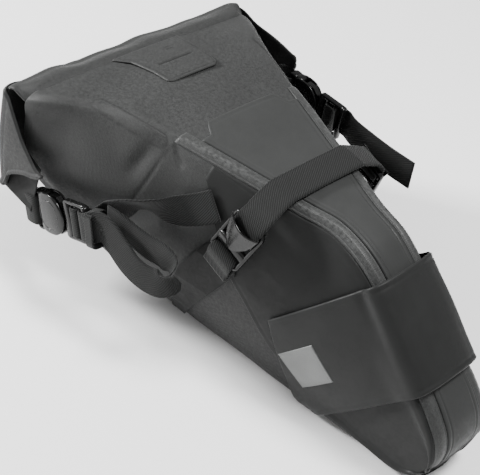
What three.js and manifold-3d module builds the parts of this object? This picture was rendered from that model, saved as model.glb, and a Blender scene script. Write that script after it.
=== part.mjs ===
import * as THREE from 'three';
import { mergeVertices } from 'three/addons/utils/BufferGeometryUtils.js';
import Module from 'manifold-3d';

// A roll-top saddle bag that straps under a bicycle saddle and against its seatpost.
// Millimetres. +X points to the nose, at the seatpost; +Y is the bicycle's left; +Z is up.
// The bag lies on its flat bottom, on Z = 0. Angles are in degrees.

// ---------------------------------------------------------------- driving dimensions
const noseRadius = 40.9;
const seatpostFaceLength = 101.2;
const seatpostFaceAngle = 40.6;
const kinkRadius = 86.4;
const topAngle = 5.57;
const rearDropStart = -215;
const rearDropLength = 135;
const rearDrop = 28;
const mouthX = -332;
const mouthBottom = 60;
const wall = 3;
const gap = 0.3;
const panelThickness = 1.5;
const ridgeWidth = 11;
const ridgeHeight = 3.2;
const topCrown = 2.5;
const webWidth = 25;
const webThickness = 1.6;
const railStrapX = -142;
const rollThickness = 17;
const rollTop = 159;
const rollBottom = 65;
const rollHalfWidth = 121;
const earInnerY = 114;
const bandLow = 20;
const bandHigh = 105;
const bandSideHigh = 89;
const bandSideLow = 119;
const bandThickness = 1.8;
// Where each side's buckle starts, at its socket's bar, and how steeply it rises towards the nose.
const buckles = {
  right: { x: -309, y: 113, z: 62, angle: 22 },
  left: { x: -270, y: 115, z: 120, angle: 0 },
};
const strapStandoff = 4.2;
const wingInner = 2.1;
const lockPivot = { x: -151.5, y: 74, z: 114 };
const lockLean = { x: 0.28, y: 0.27, z: 0.92 };
// Where the origin, under the middle of the whole bag, lies from the middle of the nose's arc.
const originX = -154.37;
const originY = 0;

// ---------------------------------------------------------------- small helpers
const wasm = await Module();
wasm.setup();

const radians = THREE.MathUtils.degToRad;
const lerp = THREE.MathUtils.lerp;
const vec = (x, y, z) => new THREE.Vector3(x, y, z);

// Reads a value at x from a short list of [x, value] pairs, straight between them.
function along(pairs, x) {
  const last = pairs.length - 1;
  if (x >= pairs[0][0]) return pairs[0][1];
  if (x <= pairs[last][0]) return pairs[last][1];
  const next = pairs.findIndex((pair) => pair[0] <= x);
  const [x0, v0] = pairs[next - 1];
  const [x1, v1] = pairs[next];
  return lerp(v0, v1, (x - x0) / (x1 - x0));
}

// Makes a closed geometry from points and triangle corners, turned so that it faces outwards.
function closedGeometry(points, triangles) {
  let volume = 0;
  for (let k = 0; k < triangles.length; k += 3) {
    const [a, b, c] = [points[triangles[k]], points[triangles[k + 1]], points[triangles[k + 2]]];
    volume += a.dot(b.clone().cross(c));
  }
  const faces = volume > 0 ? triangles : [...triangles].reverse();
  const geometry = new THREE.BufferGeometry();
  geometry.setAttribute('position', new THREE.Float32BufferAttribute(points.flatMap((p) => p.toArray()), 3));
  geometry.setIndex(faces);
  return geometry;
}

// A sheet with thickness between two grids of points, inner and outer, of the same size.
function slab(inner, outer) {
  const rows = outer.length;
  const columns = outer[0].length;
  const out = (i, j) => i * columns + j;
  const back = (i, j) => rows * columns + i * columns + j;
  const triangles = [];
  const quad = (a, b, c, d) => triangles.push(a, b, c, a, c, d);
  for (let i = 0; i < rows - 1; i += 1) {
    for (let j = 0; j < columns - 1; j += 1) {
      quad(out(i, j), out(i + 1, j), out(i + 1, j + 1), out(i, j + 1));
      quad(back(i, j), back(i, j + 1), back(i + 1, j + 1), back(i + 1, j));
    }
    quad(out(i + 1, 0), out(i, 0), back(i, 0), back(i + 1, 0));
    const j = columns - 1;
    quad(out(i, j), out(i + 1, j), back(i + 1, j), back(i, j));
  }
  for (let j = 0; j < columns - 1; j += 1) {
    const i = rows - 1;
    quad(out(i, j + 1), out(i, j), back(i, j), back(i, j + 1));
    quad(out(0, j), out(0, j + 1), back(0, j + 1), back(0, j));
  }
  return closedGeometry([...outer.flat(), ...inner.flat()], triangles);
}

// A solid through closed loops of points, with both ends closed.
function loft(loops) {
  const count = loops[0].length;
  const points = loops.flat();
  const triangles = [];
  for (let i = 0; i < loops.length - 1; i += 1) {
    for (let j = 0; j < count; j += 1) {
      const k = (j + 1) % count;
      const [a, b, c, d] = [i * count + j, (i + 1) * count + j, (i + 1) * count + k, i * count + k];
      triangles.push(a, b, c, a, c, d);
    }
  }
  closeEnd(points, triangles, loops[0], 0, false);
  closeEnd(points, triangles, loops[loops.length - 1], (loops.length - 1) * count, true);
  return closedGeometry(points, triangles);
}

// Closes one end of a loft with a fan of triangles round the loop's middle.
function closeEnd(points, triangles, loop, start, isLast) {
  const middle = loop.reduce((sum, p) => sum.add(p), vec(0, 0, 0)).divideScalar(loop.length);
  points.push(middle);
  const centre = points.length - 1;
  loop.forEach((_, j) => {
    const k = (j + 1) % loop.length;
    if (isLast) triangles.push(centre, start + k, start + j);
    else triangles.push(centre, start + j, start + k);
  });
}

// A closed-nosed hollow body through outer and inner loops, open at the last loop.
function hollowLoft(outerLoops, innerLoops) {
  const count = outerLoops[0].length;
  const points = [...outerLoops.flat(), ...innerLoops.flat()];
  const triangles = [];
  const firstInner = outerLoops.length * count;
  const skin = (start, rows, flip) => {
    for (let i = 0; i < rows - 1; i += 1) {
      for (let j = 0; j < count; j += 1) {
        const k = (j + 1) % count;
        const [a, b] = [start + i * count + j, start + (i + 1) * count + j];
        const [c, d] = [start + (i + 1) * count + k, start + i * count + k];
        if (flip) triangles.push(a, c, b, a, d, c);
        else triangles.push(a, b, c, a, c, d);
      }
    }
  };
  skin(0, outerLoops.length, false);
  skin(firstInner, innerLoops.length, true);
  const outerRim = (outerLoops.length - 1) * count;
  const innerRim = firstInner + (innerLoops.length - 1) * count;
  for (let j = 0; j < count; j += 1) {
    const k = (j + 1) % count;
    triangles.push(outerRim + k, outerRim + j, innerRim + j, outerRim + k, innerRim + j, innerRim + k);
  }
  closeEnd(points, triangles, outerLoops[0], 0, false);
  closeEnd(points, triangles, innerLoops[0], firstInner, true);
  return closedGeometry(points, triangles);
}

// Turns a geometry into a solid for cutting and joining, and back.
function toSolid(geometry) {
  const bare = geometry.clone();
  bare.deleteAttribute('normal');
  bare.deleteAttribute('uv');
  const merged = mergeVertices(bare, 1e-4);
  return new wasm.Manifold(new wasm.Mesh({
    numProp: 3,
    vertProperties: new Float32Array(merged.attributes.position.array),
    triVerts: new Uint32Array(merged.index.array),
  }));
}

function fromSolid(solid) {
  const mesh = solid.getMesh();
  const geometry = new THREE.BufferGeometry();
  geometry.setAttribute('position', new THREE.Float32BufferAttribute(mesh.vertProperties, 3));
  geometry.setIndex(new THREE.Uint32BufferAttribute(mesh.triVerts, 1));
  return geometry;
}

const keepInside = (geometry, cutter) => fromSolid(toSolid(geometry).intersect(toSolid(cutter)));

// A prism whose outline is drawn in side view, in X and Z, and which spans low to high in Y.
function sidePrism(outline, low, high) {
  const shape = new THREE.Shape(outline.map(([x, z]) => new THREE.Vector2(x, z)));
  const prism = new THREE.ExtrudeGeometry(shape, { depth: high - low, bevelEnabled: false });
  return prism.rotateX(radians(90)).translate(0, high, 0);
}

// A prism whose outline is drawn from above, in X and Y, and which spans low to high in Z.
function planPrism(outline, low, high) {
  const shape = new THREE.Shape(outline.map(([x, y]) => new THREE.Vector2(x, y)));
  return new THREE.ExtrudeGeometry(shape, { depth: high - low, bevelEnabled: false }).translate(0, 0, low);
}

// ---------------------------------------------------------------- side profile of the bag
const faceUp = vec(-Math.cos(radians(seatpostFaceAngle)), 0, Math.sin(radians(seatpostFaceAngle)));
const faceOut = vec(Math.sin(radians(seatpostFaceAngle)), 0, Math.cos(radians(seatpostFaceAngle)));

const onNose = (angle) => vec(
  noseRadius * Math.cos(radians(angle)), 0, noseRadius * (1 + Math.sin(radians(angle))));
const faceStart = onNose(90 - seatpostFaceAngle);
const onFace = (s) => faceStart.clone().addScaledVector(faceUp, s);
const kinkCentre = onFace(seatpostFaceLength).addScaledVector(faceOut, -kinkRadius);
const onKink = (angle) => kinkCentre.clone().add(
  vec(kinkRadius * Math.sin(radians(angle)), 0, kinkRadius * Math.cos(radians(angle))));
const kinkEnd = onKink(topAngle);

function onTop(x) {
  const line = kinkEnd.z + (kinkEnd.x - x) * Math.tan(radians(topAngle));
  const back = Math.max(0, (rearDropStart - x) / rearDropLength);
  return vec(x, 0, line - rearDrop * back * back);
}

function onBottom(x) {
  const back = Math.max(0, (rearDropStart - x) / (rearDropStart - mouthX));
  return vec(x, 0, mouthBottom * back ** 1.6);
}

// ---------------------------------------------------------------- half-widths along the bag
const panelHalf = (x) => along([[27, 18.5], [-50, 15.5], [-98, 17.1], [-227, 54.5], [mouthX, 88]], x);
const bulgeHalf = (x) => along([[30, 30], [0, 32.5], [-55, 43], [mouthX, 107.4]], x);
const baseHalf = (x) => along([[0, 30.3], [rearDropStart, 51], [-300, 82], [mouthX, 96]], x);

// ---------------------------------------------------------------- cross-sections of the bag
// Each section joins a point on the top line to a point on the bottom line.
const sectionEnds = [
  [onNose(-10), onNose(-31)],
  [onNose(8), onNose(-48)],
  [onNose(28), onNose(-70)],
  [faceStart, onBottom(0)],
  [onFace(34), onBottom(-21)],
  [onFace(68), onBottom(-42)],
  [onFace(seatpostFaceLength), onBottom(-60)],
  [onKink(23), onBottom(-78)],
  [kinkEnd, onBottom(-98)],
  ...[-125, -150, -175, -200, -227, -250, -275, -300, -316, mouthX].map((x) => [onTop(x), onBottom(x)]),
];
const sectionSteps = [0.82, 0.6, 0.38, 0.16];
const halfCount = 11;

// Half of a section's outline, from the middle of the top to the middle of the bottom.
function halfOutline([top, bottom]) {
  const height = top.distanceTo(bottom);
  const middleX = (top.x + bottom.x) / 2;
  const panel = panelHalf(top.x);
  const ridge = panel + ridgeWidth;
  const base = baseHalf(bottom.x);
  const crown = topCrown * Math.min(1, panel / 54.5);
  const shoulder = height - crown - Math.min(4.5, height * 0.2);
  const corner = Math.min(5, height * 0.2);
  const bulge = bulgeHalf(middleX) - (base + ridge) / 2;
  const sides = sectionSteps.map((t) => [
    lerp(base, ridge, t) + 4 * bulge * t * (1 - t),
    lerp(corner, shoulder, t),
  ]);
  return [
    [0, height], [panel / 2, height - crown / 4], [panel, height - crown],
    [panel + ridgeWidth * 0.55, height - crown - 1], [ridge, shoulder],
    ...sides,
    [base, corner], [base - 7, 0], [0, 0],
  ];
}

function sectionLoop(ends) {
  const [top, bottom] = ends;
  const up = top.clone().sub(bottom).normalize();
  const half = halfOutline(ends);
  const place = ([y, h], sign) => bottom.clone().addScaledVector(up, h).add(vec(0, sign * y, 0));
  const left = half.map((point) => place(point, 1));
  const right = half.slice(1, -1).map((point) => place(point, -1)).reverse();
  return [...left, ...right];
}

const sections = sectionEnds.map(sectionLoop);
const loopCount = sections[0].length;
const wrap = (j) => (j + loopCount) % loopCount;

// The outward direction at point j of section i.
function outward(i, j) {
  const next = sections[Math.min(i + 1, sections.length - 1)][wrap(j)];
  const previous = sections[Math.max(i - 1, 0)][wrap(j)];
  const lengthwise = next.clone().sub(previous);
  const around = sections[i][wrap(j + 1)].clone().sub(sections[i][wrap(j - 1)]);
  return around.cross(lengthwise).normalize();
}

const offsetPoint = (i, j, distance) => sections[i][wrap(j)].clone().addScaledVector(outward(i, j), distance);

// A sheet that hugs the bag from section first to last and from point low to high round the section.
// Its inner and outer distances from the bag's surface are given for each point round the section.
function hugging(first, last, low, high, innerAt, outerAt) {
  const grid = (distanceAt) => {
    const rows = [];
    for (let i = first; i <= last; i += 1) {
      const row = [];
      for (let j = low; j <= high; j += 1) row.push(offsetPoint(i, j, distanceAt(j)));
      drawIn(row, 0, 1);
      drawIn(row, row.length - 1, row.length - 2);
      rows.push(row);
    }
    return rows;
  };
  return slab(grid(innerAt), grid(outerAt));
}

// Moves an end point of a row a little towards its neighbour, so that sheets side by side keep clear.
function drawIn(row, end, neighbour) {
  row[end].addScaledVector(row[neighbour].clone().sub(row[end]).normalize(), gap / 2);
}

// The bag's half-width at a point of its side view, on the flat facets of its left side.
function halfWidthAt(x, z) {
  let widest = 0;
  const test = (a, b, c) => {
    const area = (b.x - a.x) * (c.z - a.z) - (c.x - a.x) * (b.z - a.z);
    if (Math.abs(area) < 1e-9) return;
    const v = ((x - a.x) * (c.z - a.z) - (c.x - a.x) * (z - a.z)) / area;
    const w = ((b.x - a.x) * (z - a.z) - (x - a.x) * (b.z - a.z)) / area;
    if (v < -1e-6 || w < -1e-6 || v + w > 1 + 1e-6) return;
    widest = Math.max(widest, a.y * (1 - v - w) + b.y * v + c.y * w);
  };
  for (let i = 0; i < sections.length - 1; i += 1) {
    for (let j = 0; j < halfCount - 1; j += 1) {
      test(sections[i][j], sections[i + 1][j], sections[i + 1][j + 1]);
      test(sections[i][j], sections[i + 1][j + 1], sections[i][j + 1]);
    }
  }
  return widest;
}

// A flat strap between two edge lines, given as equal lists of points.
function strap(edgeA, edgeB, thickness = webThickness) {
  const loops = edgeA.map((a, k) => {
    const b = edgeB[k];
    const next = Math.min(k + 1, edgeA.length - 1);
    const previous = Math.max(k - 1, 0);
    const lengthwise = edgeA[next].clone().add(edgeB[next]).sub(edgeA[previous]).sub(edgeB[previous]);
    const normal = b.clone().sub(a).cross(lengthwise).normalize().multiplyScalar(thickness / 2);
    return [a.clone().add(normal), b.clone().add(normal), b.clone().sub(normal), a.clone().sub(normal)];
  });
  return loft(loops);
}

// A strap along a path of [x, z] points in a fitting's own frame, across local Y.
function strapAlong(path) {
  const edge = (y) => path.map(([x, z]) => vec(x, y, z));
  return strap(edge(-webWidth / 2), edge(webWidth / 2));
}

// A strap beside the bag, on the side given by sign, along points with x, z and a tilt that turns the
// strap's width, in side view, forward from straight up. A point with no y lies against the bag's side.
function strapBeside(path, sign) {
  const edge = (half) => path.map(({ x, y, z, tilt }) => {
    const edgeX = x + half * Math.sin(radians(tilt));
    const edgeZ = z + half * Math.cos(radians(tilt));
    return vec(edgeX, sign * (y ?? halfWidthAt(edgeX, edgeZ) + strapStandoff), edgeZ);
  });
  return strap(edge(-webWidth / 2), edge(webWidth / 2));
}

// A plate with its outline in local X and Y, centred on local Z, with [from, to, half-width] slots.
function slottedPlate(outline, slots, thickness) {
  const corner = ([x, y]) => new THREE.Vector2(x, y);
  const shape = new THREE.Shape(outline.map(corner));
  slots.forEach(([x0, x1, half]) => {
    shape.holes.push(new THREE.Path([[x0, -half], [x1, -half], [x1, half], [x0, half]].map(corner)));
  });
  const plate = new THREE.ExtrudeGeometry(shape, { depth: thickness, bevelEnabled: false });
  return plate.translate(0, 0, -thickness / 2);
}

const block = (x0, x1, y0, y1, z0, z1) => new THREE.BoxGeometry(x1 - x0, y1 - y0, z1 - z0)
  .translate((x0 + x1) / 2, (y0 + y1) / 2, (z0 + z1) / 2);

// The outline of half a plate, completed by its mirror image across local Y = 0.
const mirrored = (half) => [...half, ...half.filter(([, y]) => y !== 0).reverse().map(([x, y]) => [x, -y])];

// ---------------------------------------------------------------- the assembly
const bag = new THREE.Group();
bag.position.set(-originX, originY, 0);

const finishes = {
  fabric: { color: 0x4a4c4b, roughness: 0.75, metalness: 0 },
  panel: { color: 0x535554, roughness: 0.6, metalness: 0 },
  band: { color: 0x363837, roughness: 0.65, metalness: 0 },
  web: { color: 0x262726, roughness: 0.85, metalness: 0 },
  plastic: { color: 0x141515, roughness: 0.35, metalness: 0 },
  board: { color: 0x2c2c2c, roughness: 0.6, metalness: 0 },
  label: { color: 0x9b9b9b, roughness: 0.4, metalness: 0.2 },
};

function add(name, geometry, finish, parent = bag) {
  const mesh = new THREE.Mesh(geometry, new THREE.MeshStandardMaterial(finishes[finish]));
  mesh.name = name;
  parent.add(mesh);
  return mesh;
}

// A group whose local X, Y and Z point along, across and out of a fitting.
function fittingFrame(origin, lengthwise, across) {
  const frame = new THREE.Group();
  const normal = lengthwise.clone().cross(across);
  frame.position.copy(origin);
  frame.quaternion.setFromRotationMatrix(new THREE.Matrix4().makeBasis(lengthwise, across, normal));
  bag.add(frame);
  return frame;
}

// ---------------------------------------------------------------- bag body, boards and glued skins
function addBody() {
  const inner = sections.slice(1).map((loop, k) => loop.map((_, j) => offsetPoint(k + 1, j, -wall)));
  add('bag_shell', hollowLoft(sections, inner), 'fabric');

  const floorOutline = mirrored([[-6, 17], [-120, 27], [-205, 35]]);
  add('base_stiffener', planPrism(floorOutline, wall + 0.6, wall + 2.4), 'board');
  const faceMiddle = onFace(seatpostFaceLength / 2).addScaledVector(faceOut, -5.4);
  const face = fittingFrame(faceMiddle, faceUp, vec(0, 1, 0));
  const faceOutline = mirrored([[-43, 13], [43, 11]]);
  add('seatpost_stiffener', slottedPlate(faceOutline, [], 1.6), 'board', face);
}

function addSkins() {
  const skin = (first, last, low, high) => (
    hugging(first, last, low, high, () => gap, () => gap + panelThickness));
  const panelOutline = mirrored([[60, 60], [-213, 60], [-214, 43], [-226, 33]]);
  add('top_panel', keepInside(skin(0, 13, -2, 2), planPrism(panelOutline, -10, 220)), 'panel');

  const ridgeRise = [1.2, ridgeHeight, 1.2];
  const sideOutline = [[60, 3], [60, 200], [-60, 200], [-194, 170], [-194, 154], [-151, 91],
    [-135, 77], [-108, 47], [-74, 21], [-49, 12], [0, 6], [20, 3]];
  [['right', -1], ['left', 1]].forEach(([side, sign]) => {
    const [ridgeLow, ridgeHigh, sideLow, sideHigh] = sign > 0 ? [2, 4, 4, 9] : [-4, -2, -9, -4];
    const ridge = hugging(0, 13, ridgeLow, ridgeHigh, () => gap, (j) => gap + ridgeRise[Math.abs(j) - 2]);
    add(`ridge_strip_${side}`, ridge, 'fabric');
    const sheet = keepInside(skin(1, 12, sideLow, sideHigh), sidePrism(sideOutline, -130, 130));
    add(`side_panel_${side}`, sheet, 'panel');
  });

  const patch = hugging(14, 18, -4, 4, () => gap, () => gap + 1.2);
  const patchOutline = [[-276, -24], [-276, 28], [-282, 31], [-330.5, 31], [-330.5, -28], [-312, -23],
    [-280, -26]];
  const slit = planPrism([[-299, -13], [-299, 21], [-302, 21], [-302, -13]], 100, 220);
  const cut = toSolid(keepInside(patch, planPrism(patchOutline, 100, 220))).subtract(toSolid(slit));
  add('light_loop_patch', fromSolid(cut), 'fabric');
}

// ---------------------------------------------------------------- folded roll-top closure
function addClosure() {
  const front = mouthX - 3;
  const back = front - rollThickness;
  const leaf = 5;
  const fold = [[front, rollBottom], [front, rollTop - 2], [front - 2, rollTop], [front - 10, rollTop - 0.5],
    [back, rollTop - 7], [back, rollBottom], [back + leaf, rollBottom], [back + leaf, rollTop - 12],
    [front - leaf, rollTop - 8], [front - leaf, rollBottom]];
  const rear = [[back + 2, rollTop - 9], [front, rollTop - 3]];
  const rightEar = [[back + 2, 63], ...rear, [-306, 106], [-305, 99], [-320, 78], [-320, 52], [-326, 49]];
  const leftEar = [[back + 2, 67], ...rear, [-273, 147], [-273, 136], [-278, 134], [-278, 106], [-300, 84],
    [-330, 62]];
  const roll = toSolid(sidePrism(fold, -rollHalfWidth, rollHalfWidth))
    .add(toSolid(sidePrism(leftEar, earInnerY, rollHalfWidth + 1)))
    .add(toSolid(sidePrism(rightEar, -rollHalfWidth - 1, -earInnerY)));
  add('closing_roll', fromSolid(roll), 'fabric');
  const middle = (front + back) / 2;
  add('closing_batten', block(middle - 1, middle + 1, -105, 105, rollTop - 40, rollTop - 14), 'board');
}

// ---------------------------------------------------------------- side-release buckles and side straps
const alongBuckle = ({ angle }) => vec(Math.cos(radians(angle)), 0, Math.sin(radians(angle)));

function socketGeometry() {
  const outline = mirrored([[0, 15.5], [2, 17], [14, 17.5], [24, 16.5], [34, 16.5]]);
  const shell = toSolid(slottedPlate(outline, [[3.2, 7.2, 13]], 10));
  const cavity = toSolid(block(9, 40, -13.2, 13.2, -3, 3));
  const armWindows = toSolid(block(15, 40, -30, 30, -3, 3));
  return fromSolid(shell.subtract(cavity).subtract(armWindows));
}

function plugGeometry() {
  const outline = mirrored([[12, 2.2], [14, 3], [34.6, 3], [34.6, 15.5], [37, 16.5], [60, 16.5], [62, 14.5]]);
  return slottedPlate(outline, [[42, 46.5, 13], [51, 56.5, 13.2]], 4.6);
}

// One sprung arm of the plug: a bar with a round root, a thumb pad and a tapered tip.
// Sign says on which side of the plug's middle it lies, along local Y.
function armGeometry(sign) {
  const shape = new THREE.Shape();
  const root = 31.6;
  shape.moveTo(root, 7.5 * sign);
  shape.absarc(root, 10 * sign, 2.5, -Math.PI / 2 * sign, Math.PI / 2 * sign, sign < 0);
  [[28, 15.6], [20, 16.2], [16.5, 12.6], [14, 11], [14, 8.5]].forEach(([x, y]) => shape.lineTo(x, y * sign));
  const arm = new THREE.ExtrudeGeometry(shape, { depth: 4.6, bevelEnabled: false, curveSegments: 6 });
  return arm.translate(0, 0, -2.3);
}

function addSideBuckle(side, sign) {
  const start = buckles[side];
  const forward = alongBuckle(start);
  const across = vec(-forward.z, 0, forward.x).multiplyScalar(-sign);
  const frame = fittingFrame(vec(start.x, sign * start.y, start.z), forward, across);
  add(`socket_${side}`, socketGeometry(), 'plastic', frame);
  add(`plug_${side}`, plugGeometry(), 'plastic', frame);
  add(`plug_arm_upper_${side}`, armGeometry(-sign), 'plastic', frame);
  add(`plug_arm_lower_${side}`, armGeometry(sign), 'plastic', frame);
  const around = [[-6, 5.4], [-2, 6.2], [3, 6.2], [4.8, 5.4], [5.3, 3], [5.3, -3], [4.8, -5.4], [3, -6.2],
    [-2, -6.2], [-6, -5.4]];
  add(`end_loop_${side}`, strapAlong(around), 'web', frame);
}

// A point of a strap beside a buckle, given along the buckle and outwards from its middle plane.
function besideBuckle(side, lengthwise, out) {
  const start = buckles[side];
  const forward = alongBuckle(start);
  return {
    x: start.x + lengthwise * forward.x,
    y: start.y + out,
    z: start.z + lengthwise * forward.z,
    tilt: -start.angle,
  };
}

// The strap lies against the bag up to the rail strap, and leaves it behind to reach the plug.
function addSideStrap(side, sign) {
  const fromPlug = [besideBuckle(side, 46, -5.2), besideBuckle(side, 54, -5.4)];
  const right = [{ x: -252, y: 105, z: 85, tilt: -26 }, { x: -243, y: 99, z: 89, tilt: -31 },
    { x: -232, z: 92, tilt: -38 }, { x: -222, z: 100, tilt: -40 }, { x: -212, z: 108, tilt: -42 },
    { x: -202, z: 117, tilt: -42 }, { x: -192, z: 125.5, tilt: -42 }, { x: -182, z: 134, tilt: -42 },
    { x: -176, z: 139, tilt: -40 }];
  const left = [{ x: -208, y: 102, z: 120.5, tilt: -4 }, { x: -201, y: 93, z: 122, tilt: -10 },
    { x: -194, z: 125, tilt: -20 }, { x: -185, z: 131, tilt: -32 }, { x: -176, z: 139, tilt: -40 }];
  add(`side_strap_${side}`, strapBeside([...fromPlug, ...(sign < 0 ? right : left)], sign), 'web');
}

// The right strap's end is looped back on itself and hangs; the left one sticks out forwards.
function addStrapTails() {
  const overBar = (side) => [besideBuckle(side, 53.7, -3.2), besideBuckle(side, 53.7, 2.6),
    besideBuckle(side, 55.4, 3.8), besideBuckle(side, 62, 4.4)];
  const looped = [...overBar('right'), { x: -240, y: 113, z: 88, tilt: -16 },
    { x: -226, y: 105, z: 89, tilt: -8 }, { x: -208, y: 100, z: 87, tilt: 0 },
    { x: -190, y: 97.5, z: 83, tilt: 6 },
    { x: -183, y: 94.5, z: 80, tilt: 10 }, { x: -182, y: 91, z: 73, tilt: 14 },
    { x: -187, y: 88.5, z: 63, tilt: 20 }, { x: -196, y: 88, z: 52, tilt: 28 },
    { x: -206, y: 89, z: 44, tilt: 34 }, { x: -216, y: 91, z: 39.5, tilt: 38 }];
  add('strap_tail_right', strapBeside(looped, -1), 'web');
  const straight = [...overBar('left'), { x: -195, y: 114, z: 122, tilt: -3 },
    { x: -170, y: 107, z: 126, tilt: -3 }, { x: -150, y: 104, z: 128, tilt: -2 },
    { x: -124, y: 103, z: 130, tilt: -2 }];
  add('strap_tail_left', strapBeside(straight, 1), 'web');
}

// ---------------------------------------------------------------- rail strap and its ladder locks
function addRailStrap() {
  const half = [[railStrapX, 0, 166], [railStrapX, 28, 165.8], [railStrapX, 37, 165.8],
    [railStrapX + 0.5, 45, 163], [railStrapX + 1.5, 54, 159.6], [railStrapX + 2.5, 62.5, 156.4]];
  const path = [...half.slice(1).reverse().map(([x, y, z]) => [x, -y, z]), ...half];
  const edge = (shift) => path.map(([x, y, z]) => vec(x + shift, y, z - shift * Math.tan(radians(topAngle))));
  add('rail_strap', strap(edge(-webWidth / 2), edge(webWidth / 2)), 'web');
}

function lockGeometry() {
  const outline = mirrored([[-1.5, 14], [0, 15.5], [34, 15.5], [38, 13]]);
  const frame = slottedPlate(outline, [[1.6, 7.5, 13], [16, 21, 13.2], [25, 30.5, 13.4]], 4);
  const tab = strap(
    [[9, 2.5], [13, 4.5], [22, 7.5], [38, 9.5]].map(([x, z]) => vec(x, -14, z)),
    [[9, 2.5], [13, 4.5], [22, 7.5], [38, 9.5]].map(([x, z]) => vec(x, 14, z)), 2);
  const root = block(8.2, 13, -14, 14, 1, 4.6);
  return fromSolid(toSolid(frame).add(toSolid(tab)).add(toSolid(root)));
}

function addRailLock(side, sign) {
  const lengthwise = vec(lockLean.x, -sign * lockLean.y, lockLean.z).normalize();
  const across = vec(0, sign, 0).cross(lengthwise).normalize();
  const frame = fittingFrame(vec(lockPivot.x, sign * lockPivot.y, lockPivot.z), lengthwise, across);
  add(`rail_lock_${side}`, lockGeometry(), 'plastic', frame);
  const turn = [[42, 3.6], [32, 3.6], [28.6, 3], [27.7, 0], [28.6, -3], [32, -3.8], [40, -3.8]];
  add(`rail_strap_turn_${side}`, strapAlong(turn), 'web', frame);
  const loop = [[-24, -3.6], [-12, -1.2], [-4, 2.8], [-0.4, 4.1], [3, 3], [4.4, 0], [3, -3], [-0.4, -4.1],
    [-8, -4.8], [-24, -5.8]];
  add(`lock_tab_${side}`, strapAlong(loop), 'web', frame);
  const wing = [[-204, 9], [-192, 7], [-144, 94], [-150, 116], [-170, 112], [-189, 76]];
  const [low, high] = sign > 0 ? [4, 9] : [-9, -4];
  const sheet = hugging(9, 14, low, high, () => wingInner, () => wingInner + 0.9);
  add(`wing_patch_${side}`, keepInside(sheet, sidePrism(wing, -130, 130)), 'band');
}

// ---------------------------------------------------------------- seatpost band
// A point of the band at distance s up the seatpost face, and q down the side from the face's line.
const besideFace = (s, q) => onFace(s).addScaledVector(faceOut, -q);

// How far the band's rear edge lies from the face, at distance s up the face.
const bandReach = (s) => lerp(bandSideHigh, bandSideLow, (bandHigh - s) / (bandHigh - bandLow));

function bandGrid(stations, sign, standoff) {
  return faceSteps.map((s) => stations.map((station) => {
    if (station.q === undefined) {
      return onFace(s).addScaledVector(faceOut, station.h).add(vec(0, station.y, 0));
    }
    const point = besideFace(s, station.q * bandReach(s));
    return point.add(vec(0, sign * (halfWidthAt(point.x, Math.max(point.z, 3.5)) + standoff), 0));
  }));
}

// A sheet of the band, as thick as given, outside a grid of points.
function thicken(grid, thickness) {
  const outer = grid.map((row, i) => row.map((point, j) => {
    const lengthwise = grid[Math.min(i + 1, grid.length - 1)][j].clone().sub(grid[Math.max(i - 1, 0)][j]);
    const around = row[Math.min(j + 1, row.length - 1)].clone().sub(row[Math.max(j - 1, 0)]);
    return point.clone().addScaledVector(around.cross(lengthwise).normalize(), thickness);
  }));
  return slab(grid, outer);
}

// Places on the band's sides, as shares of the way to its rear edge.
const sideSteps = [0.08, 0.16, 0.24, 0.33, 0.42, 0.51, 0.6, 0.7, 0.8, 0.9];
const faceSteps = [0, 0.25, 0.5, 0.75, 1].map((t) => lerp(bandLow, bandHigh, t));

function addBand() {
  const down = [...sideSteps, 1].map((q) => ({ q }));
  const clip = sidePrism([[80, 2.5], [80, 240], [-200, 240], [-200, 2.5]], -150, 150);
  const right = bandGrid([...down].reverse(), -1, 3.2);
  add('seatpost_band', keepInside(thicken(right, bandThickness), clip), 'band');
  const front = [{ y: -31, h: 0.5 }, { y: -25, h: 6 }, { y: -13, h: 9 }, { y: 0, h: 9.6 }, { y: 13, h: 9 },
    { y: 25, h: 6 }, { y: 32, h: 0.5 }];
  const flap = bandGrid([...front, ...down], 1, 4.9);
  add('band_flap', keepInside(thicken(flap, bandThickness), clip), 'band');
  const patchSteps = [0.42, 0.51, 0.6, 0.7, 0.8, 0.9].map((q) => ({ q }));
  add('band_loop_patch', keepInside(thicken(bandGrid(patchSteps, 1, 2.65), 0.8), clip), 'web');
  add('band_hook_patch', keepInside(thicken(bandGrid(patchSteps, 1, 3.7), 0.8), clip), 'web');
  const labelSteps = [1, 0.9, 0.8, 0.7, 0.6, 0.51].map((q) => ({ q }));
  const labelCorners = [[46, 97.5], [78, 94.5], [78, 61.5], [46, 61.5]].map(([s, q]) => besideFace(s, q));
  const label = bandGrid(labelSteps, -1, 3.2 + bandThickness + gap);
  const labelPrism = sidePrism(labelCorners.map((p) => [p.x, p.z]), -150, 0);
  add('reflective_tab', keepInside(thicken(label, 0.6), labelPrism), 'label');
}

addBody();
addSkins();
addClosure();
addRailStrap();
addStrapTails();
addBand();
[['right', -1], ['left', 1]].forEach(([side, sign]) => {
  addSideBuckle(side, sign);
  addSideStrap(side, sign);
  addRailLock(side, sign);
});

export default bag;
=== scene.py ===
import math

import bpy
import numpy as np
from mathutils import Matrix, Vector
from mathutils.bvhtree import BVHTree


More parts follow.
